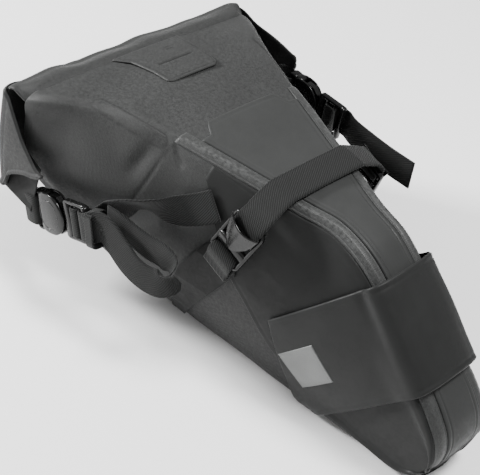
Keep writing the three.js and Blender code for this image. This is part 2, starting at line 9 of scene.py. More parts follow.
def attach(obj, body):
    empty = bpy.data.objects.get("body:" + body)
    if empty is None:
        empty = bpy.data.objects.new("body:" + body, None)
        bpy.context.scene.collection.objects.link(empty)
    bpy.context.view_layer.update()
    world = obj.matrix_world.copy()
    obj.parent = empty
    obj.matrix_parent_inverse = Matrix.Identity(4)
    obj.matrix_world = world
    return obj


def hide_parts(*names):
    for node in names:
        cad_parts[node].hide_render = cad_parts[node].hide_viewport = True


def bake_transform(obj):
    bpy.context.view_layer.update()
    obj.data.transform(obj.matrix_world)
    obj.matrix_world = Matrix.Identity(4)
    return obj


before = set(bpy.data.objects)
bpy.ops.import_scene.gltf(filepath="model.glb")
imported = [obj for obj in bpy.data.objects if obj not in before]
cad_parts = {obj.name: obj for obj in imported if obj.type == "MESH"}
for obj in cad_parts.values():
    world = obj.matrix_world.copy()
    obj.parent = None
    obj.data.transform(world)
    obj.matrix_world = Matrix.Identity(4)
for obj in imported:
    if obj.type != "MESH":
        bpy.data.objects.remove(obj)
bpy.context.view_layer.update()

# All shapes are worked out in millimetres from the middle of the nose's arc, +X to the nose, +Y to the
# bicycle's left and +Z up, and are moved to the shared frame, in metres, as each piece is made.
SHIFT = np.array([154.37, 0.0, 0.0])


# ------------------------------------------------------------------ side profile of the bag
NOSE_RADIUS = 40.9
FACE_LENGTH = 101.2
FACE_ANGLE = math.radians(40.6)
KINK_RADIUS = 86.4
TOP_ANGLE = math.radians(5.57)
REAR_START, REAR_LENGTH, REAR_DROP = -215.0, 135.0, 28.0
MOUTH_X, MOUTH_BOTTOM = -332.0, 60.0
RIDGE_WIDTH = 11.0
TOP_CROWN = 2.5
FACE_UP = np.array([-math.cos(FACE_ANGLE), 0.0, math.sin(FACE_ANGLE)])
FACE_OUT = np.array([math.sin(FACE_ANGLE), 0.0, math.cos(FACE_ANGLE)])


def vec(x, y, z):
    return np.array([x, y, z], float)


def on_nose(angle):
    a = math.radians(angle)
    return vec(NOSE_RADIUS * math.cos(a), 0, NOSE_RADIUS * (1 + math.sin(a)))


FACE_START = on_nose(90 - math.degrees(FACE_ANGLE))


def on_face(s):
    return FACE_START + FACE_UP * s


KINK_CENTRE = on_face(FACE_LENGTH) - FACE_OUT * KINK_RADIUS


def on_kink(angle):
    return KINK_CENTRE + vec(KINK_RADIUS * math.sin(angle), 0, KINK_RADIUS * math.cos(angle))


KINK_END = on_kink(TOP_ANGLE)


def on_top(x):
    back = max(0.0, (REAR_START - x) / REAR_LENGTH)
    return vec(x, 0, KINK_END[2] + (KINK_END[0] - x) * math.tan(TOP_ANGLE) - REAR_DROP * back * back)


def on_bottom(x):
    back = max(0.0, (REAR_START - x) / (REAR_START - MOUTH_X))
    return vec(x, 0, MOUTH_BOTTOM * back ** 1.6)


def along(pairs, x):
    xs, vs = zip(*sorted(pairs))
    return float(np.interp(x, xs, vs))


def panel_half(x):
    return along([(27, 18.5), (-50, 15.5), (-98, 17.1), (-227, 54.5), (MOUTH_X, 88)], x)


def bulge_half(x):
    return along([(30, 30), (0, 32.5), (-55, 43), (MOUTH_X, 107.4)], x)


def base_half(x):
    return along([(0, 30.3), (REAR_START, 51), (-300, 82), (MOUTH_X, 96)], x)


SECTION_ENDS = [
    (on_nose(-10), on_nose(-31)), (on_nose(8), on_nose(-48)), (on_nose(28), on_nose(-70)),
    (FACE_START, on_bottom(0)), (on_face(34), on_bottom(-21)), (on_face(68), on_bottom(-42)),
    (on_face(FACE_LENGTH), on_bottom(-60)), (on_kink(math.radians(23)), on_bottom(-78)),
    (KINK_END, on_bottom(-98)),
] + [(on_top(x), on_bottom(x)) for x in (-125, -150, -175, -200, -227, -250, -275, -300, -316, MOUTH_X)]


def half_outline(top, bottom):
    """Half of a cross-section, as (half-width, height), from the middle of the top down to the bottom's."""
    height = float(np.linalg.norm(top - bottom))
    panel = panel_half(top[0])
    ridge, base = panel + RIDGE_WIDTH, base_half(bottom[0])
    crown = TOP_CROWN * min(1.0, panel / 54.5)
    shoulder = height - crown - min(4.5, height * 0.2)
    corner = min(5.0, height * 0.2)
    bulge = bulge_half((top[0] + bottom[0]) / 2) - (base + ridge) / 2
    sides = [(base + (ridge - base) * t + 4 * bulge * t * (1 - t), corner + (shoulder - corner) * t)
             for t in (0.82, 0.6, 0.38, 0.16)]
    return [(0, height), (panel / 2, height - crown / 4), (panel, height - crown),
            (panel + RIDGE_WIDTH * 0.55, height - crown - 1), (ridge, shoulder), *sides,
            (base, corner), (base - 7, 0), (0, 0)]


def section_loop(top, bottom):
    up = (top - bottom) / np.linalg.norm(top - bottom)
    half = half_outline(top, bottom)
    left = [bottom + up * h + vec(0, y, 0) for y, h in half]
    right = [bottom + up * h - vec(0, y, 0) for y, h in half[1:-1]]
    return left + right[::-1]


SECTIONS = np.array([section_loop(*ends) for ends in SECTION_ENDS])
LAST = len(SECTIONS) - 1
AROUND = SECTIONS.shape[1]


# ------------------------------------------------------------------ smooth surface through the sections
def smooth(points, at, closed=False, guide=None):
    """Points at fractional indices along the first axis of an array, on a smooth curve through it."""
    n = len(points)
    guide = points if guide is None else guide
    steps = np.linalg.norm(np.roll(guide, -1, 0) - guide, axis=-1).reshape(n, -1).mean(1)
    if not closed:
        steps[-1] = steps[-2]
    at = np.asarray(at, float)
    i = np.floor(at).astype(int)
    if not closed:
        i = np.clip(i, 0, n - 2)
    f = (at - i).reshape((-1,) + (1,) * (points.ndim - 1))

    def point(k):
        if closed:
            return points[k % n]
        held = np.where((k < 0).reshape(f.shape), 2 * points[0] - points[1], points[np.clip(k, 0, n - 1)])
        return np.where((k > n - 1).reshape(f.shape), 2 * points[-1] - points[-2], held)

    def step(k):
        return (steps[k % n] if closed else steps[np.clip(k, 0, n - 2)]).reshape(f.shape)

    p0, p1, p2, p3 = point(i - 1), point(i), point(i + 1), point(i + 2)
    h0, h1, h2 = step(i - 1), step(i), step(i + 1)
    m1 = ((p2 - p1) / h1 * h0 + (p1 - p0) / h0 * h1) / (h0 + h1) * h1
    m2 = ((p3 - p2) / h2 * h1 + (p2 - p1) / h1 * h2) / (h1 + h2) * h1
    f2, f3 = f * f, f * f * f
    return (2 * f3 - 3 * f2 + 1) * p1 + (f3 - 2 * f2 + f) * m1 + (3 * f2 - 2 * f3) * p2 + (f3 - f2) * m2


PER_U, PER_V = 20, 20
fine_v = np.arange(AROUND * PER_V + 1) / PER_V
loops = np.moveaxis(smooth(np.moveaxis(SECTIONS, 1, 0), fine_v, closed=True), 0, 1)
fine_u = np.arange(LAST * PER_U + 1) / PER_U
TABLE = smooth(loops, fine_u)


def mouth_flare():
    """The mouth is pulled flat by the roll, so that near it the upper part of the bag is wider."""
    t = np.clip((fine_u - 14.2) / 3.6, 0, 1)
    places = np.minimum(fine_v, AROUND - fine_v)
    share = np.interp(places, [0, 4, 5, 6, 7, 8], [0.17, 0.17, 0.115, 0.075, 0.03, 0])
    return 1 + (t * t * (3 - 2 * t))[:, None] * share


TABLE[..., 1] *= mouth_flare()


def table_normals(table):
    du = np.gradient(table, axis=0)
    dv = np.empty_like(table)
    dv[:, 1:-1] = table[:, 2:] - table[:, :-2]
    dv[:, 0] = dv[:, -1] = table[:, 1] - table[:, -2]
    n = np.cross(dv, du)
    return n / np.maximum(np.linalg.norm(n, axis=-1, keepdims=True), 1e-9)


NORMALS = table_normals(TABLE)


def surface(u, v, lift=0.0):
    """Points of the bag's surface at section u (0 at the nose) and place v round it, lifted outwards."""
    u, v = np.broadcast_arrays(np.asarray(u, float), np.asarray(v, float))
    a = np.clip(u, 0, LAST) * PER_U
    b = np.mod(v, AROUND) * PER_V
    i, j = np.minimum(a.astype(int), LAST * PER_U - 1), np.minimum(b.astype(int), AROUND * PER_V - 1)
    fa, fb = (a - i)[..., None], (b - j)[..., None]

    def mixed(grid):
        return ((grid[i, j] * (1 - fb) + grid[i, j + 1] * fb) * (1 - fa)
                + (grid[i + 1, j] * (1 - fb) + grid[i + 1, j + 1] * fb) * fa)

    normal = mixed(NORMALS)
    normal /= np.linalg.norm(normal, axis=-1, keepdims=True)
    return mixed(TABLE) + normal * np.broadcast_to(np.asarray(lift, float), u.shape)[..., None]


def u_at_x(x):
    """The section at which the top's middle line reaches x, behind the kink."""
    line = TABLE[8 * PER_U:, 0, 0]
    return 8 + np.interp(-np.asarray(x, float), -line, np.arange(len(line)) / PER_U)


# ------------------------------------------------------------------ making meshes
def grid_faces(rows, columns, start=0, flip=False, wrap=False):
    faces = []
    for i in range(rows - 1):
        for j in range(columns if wrap else columns - 1):
            k = (j + 1) % columns
            quad = [start + i * columns + j, start + (i + 1) * columns + j,
                    start + (i + 1) * columns + k, start + i * columns + k]
            faces.append(quad[::-1] if flip else quad)
    return faces


def closed_sheet(outer, inner):
    """Vertices and faces of a closed sheet between two grids of points."""
    rows, columns = outer.shape[:2]
    count = rows * columns
    verts = np.concatenate([outer.reshape(-1, 3), inner.reshape(-1, 3)])
    faces = grid_faces(rows, columns) + grid_faces(rows, columns, count, flip=True)
    rim = [(i, 0) for i in range(rows)] + [(rows - 1, j) for j in range(1, columns)]
    rim += [(i, columns - 1) for i in range(rows - 2, -1, -1)] + [(0, j) for j in range(columns - 2, 0, -1)]
    ids = [i * columns + j for i, j in rim]
    for a, b in zip(ids, ids[1:] + ids[:1]):
        faces.append([b, a, a + count, b + count])
    return verts, faces


def swept(rings):
    """Vertices and faces of a solid through closed rings of points, capped at both ends."""
    rings = np.asarray(rings)
    rows, columns = rings.shape[:2]
    faces = grid_faces(rows, columns, wrap=True)
    faces.append(list(range(columns)))
    faces.append(list(range((rows - 1) * columns, rows * columns))[::-1])
    return rings.reshape(-1, 3), faces


def swept_round(rings):
    """Vertices and faces of a solid through closed rings of points, the last ring joined to the first."""
    verts = np.concatenate(rings)
    faces = grid_faces(len(rings) + 1, len(rings[0]), wrap=True)
    return verts, [[k % len(verts) for k in face] for face in faces]


def facing(grid):
    """The unit direction that a grid of points faces, by its two sets of lines."""
    normal = np.cross(np.gradient(grid, axis=1), np.gradient(grid, axis=0))
    return normal / np.maximum(np.linalg.norm(normal, axis=-1, keepdims=True), 1e-9)


def run_along(points, axis=0):
    """Distance travelled along one axis of a grid of points, from 0 at its start."""
    steps = np.linalg.norm(np.diff(points, axis=axis), axis=-1)
    return np.cumsum(np.insert(steps, 0, 0, axis), axis)


def make(name, verts, faces, material, body, replaces=(), uv=None, marks=None):
    """A smooth-shaded piece that rides on a body; uv and marks hold one value for each vertex."""
    mesh = bpy.data.meshes.new(name)
    mesh.from_pydata(((np.asarray(verts) + SHIFT) / 1000).tolist(), [], faces)
    mesh.materials.append(material)
    mesh.validate()
    if uv is not None:
        layer = mesh.uv_layers.new(name="UVMap")
        corner = np.empty(len(mesh.loops), int)
        mesh.loops.foreach_get("vertex_index", corner)
        layer.data.foreach_set("uv", np.asarray(uv, float)[corner].ravel())
    for mark, values in (marks or {}).items():
        mesh.attributes.new(mark, "FLOAT", "POINT").data.foreach_set("value", np.asarray(values, np.float32))
    mesh.shade_smooth()
    obj = bpy.data.objects.new(name, mesh)
    bpy.context.scene.collection.objects.link(obj)
    turn_outwards(obj)
    if body:
        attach(obj, body)
    if replaces:
        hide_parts(*replaces)
    return obj


def turn_outwards(obj):
    """Flips a closed mesh's faces if its volume comes out negative."""
    mesh = obj.data
    mesh.calc_loop_triangles()
    co = np.empty(len(mesh.vertices) * 3)
    mesh.vertices.foreach_get("co", co)
    tris = np.empty(len(mesh.loop_triangles) * 3, int)
    mesh.loop_triangles.foreach_get("vertices", tris)
    a, b, c = np.moveaxis(co.reshape(-1, 3)[tris.reshape(-1, 3)], 1, 0)
    if np.einsum("ij,ij->i", a, np.cross(b, c)).sum() < 0:
        mesh.flip_normals()


# ------------------------------------------------------------------ materials
def nodes_of(name, color, roughness, **inputs):
    material = bpy.data.materials.new(name)
    material.use_nodes = True
    tree = material.node_tree
    shader = tree.nodes["Principled BSDF"]
    shader.inputs["Base Color"].default_value = (*color, 1)
    shader.inputs["Roughness"].default_value = roughness
    for key, value in inputs.items():
        shader.inputs[key.replace("_", " ")].default_value = value
    return material, tree, shader


def node(tree, kind, links=(), **settings):
    made = tree.nodes.new(kind)
    for key, value in settings.items():
        if hasattr(made, key):
            setattr(made, key, value)
        else:
            made.inputs[key.replace("_", " ")].default_value = value
    for key, source in dict(links).items():
        tree.links.new(source, made.inputs[key])
    return made


def maths(tree, operation, a, b):
    made = tree.nodes.new("ShaderNodeMath")
    made.operation = operation
    for socket, value in zip(made.inputs, (a, b)):
        if isinstance(value, (int, float)):
            socket.default_value = value
        else:
            tree.links.new(value, socket)
    return made.outputs[0]


def noise_of(tree, where, scale, detail, roughness=0.5, **more):
    return node(tree, "ShaderNodeTexNoise", {"Vector": where}, Scale=scale, Detail=detail,
                Roughness=roughness, **more).outputs["Fac"]


def spread(tree, value, low, high, to_low, to_high):
    made = node(tree, "ShaderNodeMapRange", {"Value": value}, clamp=True)
    for key, number in (("From Min", low), ("From Max", high), ("To Min", to_low), ("To Max", to_high)):
        made.inputs[key].default_value = number
    return made.outputs[0]


def tinted(tree, shader, color, factor):
    """Multiplies a plain colour by a grey factor and links it to the shader."""
    mix = node(tree, "ShaderNodeVectorMath", operation="SCALE")
    mix.inputs[0].default_value = color
    tree.links.new(factor, mix.inputs["Scale"])
    tree.links.new(mix.outputs[0], shader.inputs["Base Color"])


def bumped(tree, shader, layers):
    """Stacks bump maps, each (height, strength, distance in metres)."""
    normal = None
    for height, strength, distance in layers:
        bump = node(tree, "ShaderNodeBump", {"Height": height}, Strength=strength, Distance=distance)
        if normal is not None:
            tree.links.new(normal, bump.inputs["Normal"])
        normal = bump.outputs[0]
    tree.links.new(normal, shader.inputs["Normal"])


def mark_of(tree, name):
    return node(tree, "ShaderNodeAttribute", attribute_name=name).outputs["Fac"]


def where_of(tree, kind="Object"):
    return node(tree, "ShaderNodeTexCoord").outputs[kind]


def coated_cloth(name, color, sheen, grain=0.35, roughness=0.6, wear_and_highlight=0.0):
    """Coated woven cloth: a fine weave under a grainy film, blotched a little, darkened at marked seams and
    with painted shade where marked, and paler where marked by wear and a painted highlight.
    """
    material, tree, shader = nodes_of(name, color, roughness, Sheen_Weight=sheen, Sheen_Roughness=0.45,
                                      Specular_IOR_Level=0.3)
    where = where_of(tree)
    fine = noise_of(tree, where, 900, 3, 0.6)
    speckle = noise_of(tree, where, 420, 2)
    broad = noise_of(tree, where, 16, 3)
    threads = [node(tree, "ShaderNodeTexWave", {"Vector": where}, Scale=260, Distortion=0.6,
                    bands_direction=way).outputs["Fac"] for way in "XY"]
    weave = maths(tree, "MULTIPLY", *threads)
    both = maths(tree, "ADD", maths(tree, "MULTIPLY", fine, 0.6), maths(tree, "MULTIPLY", speckle, 0.4))
    factor = maths(tree, "MULTIPLY", spread(tree, both, 0.36, 0.64, 1 - grain, 1 + grain * 1.2),
                   spread(tree, broad, 0.3, 0.7, 0.9, 1.1))
    # Darkens along seams and stitches, and paints shade low on the bag's front and in the light patch's
    # slit.
    factor = maths(tree, "MULTIPLY", factor, spread(tree, mark_of(tree, "seams_and_shade"), 0, 1, 1, 0.35))
    # Makes marked crests paler: partly rubbed wear, partly a painted highlight.
    if wear_and_highlight:
        rubbed_and_highlit = maths(tree, "MULTIPLY", mark_of(tree, "wear_and_highlight"), spread(tree, speckle, 0.45, 0.62, 0, wear_and_highlight))
        factor = maths(tree, "ADD", factor, rubbed_and_highlit)
    tinted(tree, shader, color, factor)
    gloss = spread(tree, speckle, 0.3, 0.7, roughness - 0.1, roughness + 0.12)
    tree.links.new(gloss, shader.inputs["Roughness"])
    bumped(tree, shader, [(weave, 0.25, 0.0003), (both, 0.35, 0.0006), (broad, 0.15, 0.003)])
    return material


def smooth_film(name, color, roughness):
    """Smooth coated cloth: nearly plain, with a faint pebble and soft cloudy wear."""
    material, tree, shader = nodes_of(name, color, roughness, Specular_IOR_Level=0.14, Sheen_Weight=0.02,
                                      Sheen_Roughness=0.5)
    where = where_of(tree)
    pebble = noise_of(tree, where, 1500, 2)
    cloud = noise_of(tree, where, 22, 4)
    scuff = noise_of(tree, where, 140, 5, Distortion=1.5)
    factor = maths(tree, "MULTIPLY", spread(tree, cloud, 0.3, 0.7, 0.92, 1.08),
                   spread(tree, pebble, 0.3, 0.7, 0.94, 1.06))
    tinted(tree, shader, color, factor)
    gloss = spread(tree, scuff, 0.35, 0.7, roughness - 0.07, roughness + 0.1)
    tree.links.new(gloss, shader.inputs["Roughness"])
    bumped(tree, shader, [(pebble, 0.12, 0.0003), (cloud, 0.12, 0.004)])
    return material


def webbing(name, color):
    """Webbing with slanting ribs, drawn in its own length and width, in metres."""
    material, tree, shader = nodes_of(name, color, 0.75, Sheen_Weight=0.08, Sheen_Roughness=0.4,
                                      Specular_IOR_Level=0.1)
    flat = where_of(tree, "UV")
    turned = node(tree, "ShaderNodeMapping", {"Vector": flat})
    turned.inputs["Rotation"].default_value = (0, 0, math.radians(58))
    rib = node(tree, "ShaderNodeTexWave", {"Vector": turned.outputs[0]}, Scale=210,
               Distortion=0.3).outputs["Fac"]
    cross = node(tree, "ShaderNodeTexWave", {"Vector": flat}, Scale=300).outputs["Fac"]
    edge = node(tree, "ShaderNodeSeparateXYZ", {"Vector": flat}).outputs["Y"]
    border = spread(tree, maths(tree, "ABSOLUTE", edge, 0.0), 0.0098, 0.0108, 0, 1)
    fuzz = noise_of(tree, where_of(tree), 1300, 3)
    pattern = maths(tree, "ADD", maths(tree, "MULTIPLY", rib, 0.75), maths(tree, "MULTIPLY", cross, 0.25))
    factor = maths(tree, "MULTIPLY", spread(tree, pattern, 0.1, 0.9, 0.6, 1.45),
                   spread(tree, fuzz, 0.3, 0.7, 0.8, 1.25))
    factor = maths(tree, "MULTIPLY", factor, spread(tree, border, 0, 1, 1, 0.8))
    tinted(tree, shader, color, factor)
    bumped(tree, shader, [(pattern, 0.6, 0.0006), (fuzz, 0.25, 0.0002)])
    return material


def moulded(name, color, roughness):
    """Moulded plastic: glossy, with a faint grain and hairline scuffs."""
    material, tree, shader = nodes_of(name, color, roughness, Specular_IOR_Level=0.3)
    where = where_of(tree)
    grain = noise_of(tree, where, 900, 3)
    scuff = noise_of(tree, where, 260, 6, Distortion=2.5)
    gloss = spread(tree, scuff, 0.4, 0.75, roughness - 0.05, roughness + 0.14)
    tree.links.new(gloss, shader.inputs["Roughness"])
    tinted(tree, shader, color, spread(tree, scuff, 0.3, 0.8, 0.8, 1.5))
    bumped(tree, shader, [(grain, 0.08, 0.0003)])
    return material


def tape(name, color):
    """Silver reflective tape with a fine dotted face."""
    material, tree, shader = nodes_of(name, color, 0.42, Metallic=0.25, Specular_IOR_Level=0.5)
    where = where_of(tree)
    cells = node(tree, "ShaderNodeTexVoronoi", {"Vector": where}, Scale=1400).outputs["Distance"]
    cloud = noise_of(tree, where, 60, 2)
    tinted(tree, shader, color, maths(tree, "MULTIPLY", spread(tree, cells, 0.1, 0.6, 0.92, 1.06),
                                      spread(tree, cloud, 0.3, 0.7, 0.9, 1.1)))
    bumped(tree, shader, [(cells, 0.1, 0.0002)])
    return material


def looped(name, color):
    """Hook-and-loop tape: a dense, rough pile."""
    material, tree, shader = nodes_of(name, color, 0.9, Sheen_Weight=0.1, Sheen_Roughness=0.5,
                                      Specular_IOR_Level=0.1)
    where = where_of(tree)
    pile = node(tree, "ShaderNodeTexVoronoi", {"Vector": where}, Scale=900).outputs["Distance"]
    tinted(tree, shader, color, spread(tree, pile, 0.1, 0.7, 0.6, 1.9))
    bumped(tree, shader, [(pile, 0.8, 0.001)])
    return material


def grey(level):
    return level, level * 1.03, level * 1.01


CLOTH = coated_cloth("coated_cloth", grey(0.0185), 0.03)
ROLL_CLOTH = coated_cloth("roll_cloth", grey(0.0095), 0.02, grain=0.25)
RUB = coated_cloth("rub_strip", grey(0.027), 0.03, grain=0.3, roughness=0.5, wear_and_highlight=0.8)
PANEL = smooth_film("smooth_panel", grey(0.027), 0.5)
SIDE = smooth_film("side_panel", grey(0.0125), 0.52)
BAND = smooth_film("band_film", grey(0.014), 0.48)
WING = smooth_film("wing_film", grey(0.008), 0.6)
WEB = webbing("webbing", grey(0.014))
PLASTIC = moulded("moulded_black", grey(0.0045), 0.2)
BOARD = moulded("board_grey", grey(0.018), 0.6)
SILVER = tape("silver_tape", grey(0.115))
PILE = looped("hook_and_loop", grey(0.008))


# ------------------------------------------------------------------ shell of the bag
def near_line(points, line):
    """Distance from each point to a polyline, and how far along it (0 to 1)."""
    best = np.full(len(points), 1e9)
    part = np.zeros(len(points))
    for k, (a, b) in enumerate(zip(line[:-1], line[1:])):
        a, b = np.array(a, float), np.array(b, float)
        d = b - a
        t = np.clip(((points - a) @ d) / (d @ d), 0, 1)
        dist = np.linalg.norm(points - a - t[:, None] * d, axis=1)
        closer = dist < best
        best = np.where(closer, dist, best)
        part = np.where(closer, (k + t) / (len(line) - 1), part)
    return best, part


def groove(distance, width):
    """A smooth hollow: 1 on a line and nearly nothing two widths away from it."""
    return np.exp(-(distance / width) ** 2)


WAVE_COUNT = 7


def waves(points, seed, length):
    """A smooth random height between about -1 and 1, from a few plane waves."""
    rng = np.random.default_rng(seed)
    total = np.zeros(len(points))
    for _ in range(WAVE_COUNT):
        direction = rng.normal(size=3)
        direction /= np.linalg.norm(direction)
        size = length * rng.uniform(0.7, 1.5)
        total += np.sin(points @ direction * 2 * math.pi / size + rng.uniform(0, 2 * math.pi))
    return total / math.sqrt(WAVE_COUNT)


# Lines on the bag's right side, each mirrored to the left: a welded tape, a sewn seam and two soft folds.
SEAM_TAPE = [(-288.6, -83, 162.7), (-261.6, -76.9, 162.5), (-235.9, -69.7, 160.3)]
SEAM = [(-227, -68, 157.5), (-229.5, -74, 146), (-231.4, -78.6, 133.3), (-236, -83, 117),
        (-239.6, -85.9, 103.2)]
VALLEY = [(-236, -70, 161), (-241, -77, 148), (-245, -82, 135), (-250, -85, 122)]
CREASE = [(-227, -62, 163), (-221, -66, 158), (-214, -67, 152)]
SHELL_LOWEST, SHELL_THICKNESS = 0.05, 1.4


def shell_relief(points, u):
    """How far the cloth of the shell stands out from the plain surface, in millimetres."""
    rear = np.clip((-203 - points[:, 0]) / 30, 0, 1)
    low = np.clip((45 - points[:, 2]) / 45, 0, 1)
    calm = np.clip((LAST - u) / 1.2, 0, 1)
    height = rear * calm * (1.2 * waves(points, 3, 95) + 0.5 * waves(points, 8, 38) - 0.6)
    height -= 0.3 * np.clip((u - (LAST - 0.5)) / 0.5, 0, 1)
    height += 0.35 * low * waves(points, 12, 60)
    for mirror in (1, -1):
        place = points * [1, mirror, 1]
        valley, part = near_line(place, VALLEY)
        height -= 2.6 * groove(valley, 6.5) * np.sin(math.pi * np.clip(part, 0.05, 0.95))
        height -= 0.9 * groove(near_line(place, SEAM)[0], 1.1)
        height += 0.4 * np.clip((5.2 - near_line(place, SEAM_TAPE)[0]) / 0.7, 0, 1)
        height -= 1.3 * groove(near_line(place, CREASE)[0], 3.0)
    return height


def add_shell():
    """The bag's cloth, one sheet from the rounded nose to the mouth, open at the mouth's end."""
    step = 0.06
    us = np.concatenate([np.arange(0, LAST, step), [LAST]])
    vs = np.arange(0, AROUND, step)
    grid_u, grid_v = np.meshgrid(us, vs, indexing="ij")
    flat = surface(grid_u, grid_v).reshape(-1, 3)
    relief = shell_relief(flat, grid_u.ravel())
    outer = surface(grid_u.ravel(), grid_v.ravel(), relief).reshape(len(us), len(vs), 3)
    outer[..., 2] = np.maximum(outer[..., 2], SHELL_LOWEST)
    centre = outer[0].mean(0)
    nose = [centre + (outer[0] - centre) * s + vec(1, 0, -0.35) * d
            for s, d in ((0.12, 2.3), (0.4, 2.1), (0.68, 1.6), (0.88, 0.8))]
    rows = np.concatenate([nose, outer])
    columns = len(vs)
    verts = rows.reshape(-1, 3)
    faces = grid_faces(len(rows), columns, wrap=True)
    faces.append(list(range(columns)))
    # Painted shade: the cloth low on the bag, forward of its rear, is darkened, as are the sewn seam and the
    # tape's edges.
    painted_low_shade = np.interp(verts[:, 0], [-245, -180], [0, 1]) * np.clip((100 - verts[:, 2]) / 12, 0, 1)
    dark = 0.85 * painted_low_shade
    for mirror in (1, -1):
        place = verts * [1, mirror, 1]
        sewn = groove(near_line(place, SEAM)[0], 0.9)
        tape_edge = groove(near_line(place, SEAM_TAPE)[0] - 5.4, 0.6)
        dark = np.maximum.reduce([dark, sewn, 0.8 * tape_edge])
    shell = make("bag_cloth", verts, faces, CLOTH, None, marks={"seams_and_shade": dark})
    solid = shell.modifiers.new("thickness", "SOLIDIFY")
    solid.thickness = SHELL_THICKNESS / 1000
    solid.offset = -1
    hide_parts("bag_shell")
    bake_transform(shell)


# ------------------------------------------------------------------ skins welded onto the shell
# A skin's own face starts just above the shell and its back lies just inside it.
SKIN_LIFT, SKIN_SINK = 0.15, -0.25


def on_side(low, high, sign):
    """A range of places round the bag, given for the left side, on the side of that sign."""
    return (low, high) if sign > 0 else (AROUND - high, AROUND - low)


def eased(distance, width):
    """A rounded edge: 0 at the edge, 1 from the given distance inwards."""
    t = np.clip(distance / width, 0, 1)
    return np.sqrt(np.maximum(0.0, 1 - (1 - t) ** 2))


def from_ends(count, length):
    """Distances to the nearer end, at evenly spaced places along a length."""
    at = np.linspace(0, length, count)
    return np.minimum(at, length - at)


def skin(name, us, v_low, v_high, profile, material, replaces, count, edge, marks=None):
    """A welded sheet on the shell between two edges, v_low and v_high, given at each section in us.

    The profile is its height, by the share of the way across and the distance along the bag.
    """
    t = (1 - np.cos(np.linspace(0, math.pi, count))) / 2
    grid_v = v_low[:, None] + (v_high - v_low)[:, None] * t
    grid_u = np.broadcast_to(us[:, None], grid_v.shape)
    flat = surface(grid_u, grid_v)
    run = run_along(flat, 1)
    part = run / run[:, -1:]
    length = run_along(flat[:, count // 2])[:, None]
    height = eased(np.minimum(run, run[:, -1:] - run), edge)
    height *= eased(length, edge) * eased(length[-1] - length, edge)
    outer = surface(grid_u, grid_v, SKIN_LIFT + height * profile(part, length))
    verts, faces = closed_sheet(outer, surface(grid_u, grid_v, SKIN_SINK))
    marks = {key: np.tile(mark(part, outer[..., 0]).ravel(), 2) for key, mark in (marks or {}).items()}
    make(name, verts, faces, material, "bag", replaces, marks=marks)


def add_top_panel():
    """The smooth panel over the top and down the face, with its two rear corners cut off."""
    t = np.linspace(-1, 1, 91)
    vs = 2 * t
    s = np.linspace(0, 1, 240)
    rear_y = np.abs(surface(u_at_x(-220), vs)[:, 1])
    rear_x = np.interp(rear_y, [0, 33, 43, 60], [-226, -226, -214, -213])
    end = u_at_x(rear_x)
    us = 0.12 + (end[None, :] - 0.12) * s[:, None]
    grid_v = np.broadcast_to(vs, us.shape)
    flat = surface(us, grid_v)
    back, across = run_along(flat), run_along(flat, 1)
    inward = np.minimum.reduce([back[-1:] - back, across, across[:, -1:] - across])
    lift = SKIN_LIFT + 1.3 * eased(inward, 1.3) - 0.45 * groove(inward - 4.2, 0.8)
    verts, faces = closed_sheet(surface(us, grid_v, lift), surface(us, grid_v, SKIN_SINK))
    make("smooth_top_panel", verts, faces, PANEL, "bag", ["top_panel"])


def inside(polygon, x, z):
    hit = np.zeros(np.shape(x), bool)
    for (x0, z0), (x1, z1) in zip(polygon, polygon[1:] + polygon[:1]):
        crosses = (z0 > z) != (z1 > z)
        with np.errstate(divide="ignore", invalid="ignore"):
            at = (x1 - x0) * (z - z0) / ((z1 - z0) or 1e-9) + x0
        hit ^= crosses & (x < at)
    return hit


SIDE_OUTLINE = [(60, 3), (60, 200), (-60, 200), (-194, 170), (-194, 154), (-151, 91), (-135, 77), (-108, 47),
                (-74, 21), (-49, 12), (0, 6), (20, 3)]


def add_side_panel(side, sign):
    """The smooth panel low on one side, cut along an outline seen from the side."""
    us = np.linspace(0.35, float(u_at_x(-193.5)), 170)
    probe = np.arange(4.06, 9.2, 0.02)
    grid_u, grid_v = np.meshgrid(us, probe, indexing="ij")
    flat = surface(grid_u, grid_v)
    within = inside(SIDE_OUTLINE, flat[..., 0], flat[..., 2])
    last = np.array([probe[np.argmin(row)] if not row.all() else probe[-1] for row in within])
    last = np.convolve(np.pad(last, 3, mode="edge"), np.ones(7) / 7, mode="valid")
    first = np.full(len(us), 4.03)
    last = np.maximum(last, 4.25)
    v_low, v_high = on_side(first, last, sign)

    def profile(t, length):
        return 0.8 - 0.2 * groove(np.minimum(t, 1 - t) * 60 - 3.6, 0.9)

    skin(f"smooth_side_panel_{side}", us, v_low, v_high, profile, SIDE,
         [f"side_panel_{side}"], count=60, edge=1.2)


# Half of a raised strip's height across, from its edge to its middle, in millimetres.
RIDGE_SHAPE = [(0, 1.0), (0.05, 1.5), (0.1, 1.9), (0.15, 1.25), (0.22, 1.9), (0.5, 3.1)]


def add_ridge(side, sign):
    """A raised strip along the bag's top edge, its crest paler: partly rubbed wear, partly a painted
    highlight.
    """
    us = np.concatenate([np.linspace(0.12, 8, 110), np.linspace(8.05, float(u_at_x(-226)), 90)])
    v_low, v_high = on_side(np.full(len(us), 2.02), np.full(len(us), 4.0), sign)
    shares, heights = zip(*RIDGE_SHAPE)

    def profile(t, length):
        rear = 0.25 + 0.75 * np.clip((length.max() - length) / 26, 0, 1) ** 0.7
        across = np.interp(np.minimum(t, 1 - t), shares, heights)
        return across * rear * np.interp(length, [60, 150], [0.38, 0.66])

    # Painted highlight with wear: soft pale spots along the crest.
    def wear_and_highlight(t, x):
        spots = sum(groove(x - at, wide) for at, wide in ((-205, 16), (-178, 16), (-120, 14), (-92, 12)))
        return groove(t - 0.5, 0.2) * np.clip(0.1 + 0.7 * spots, 0, 1)

    skin(f"rub_strip_{side}", us, v_low, v_high, profile, RUB, [f"ridge_strip_{side}"],
         count=34, edge=0.8, marks={"wear_and_highlight": wear_and_highlight})


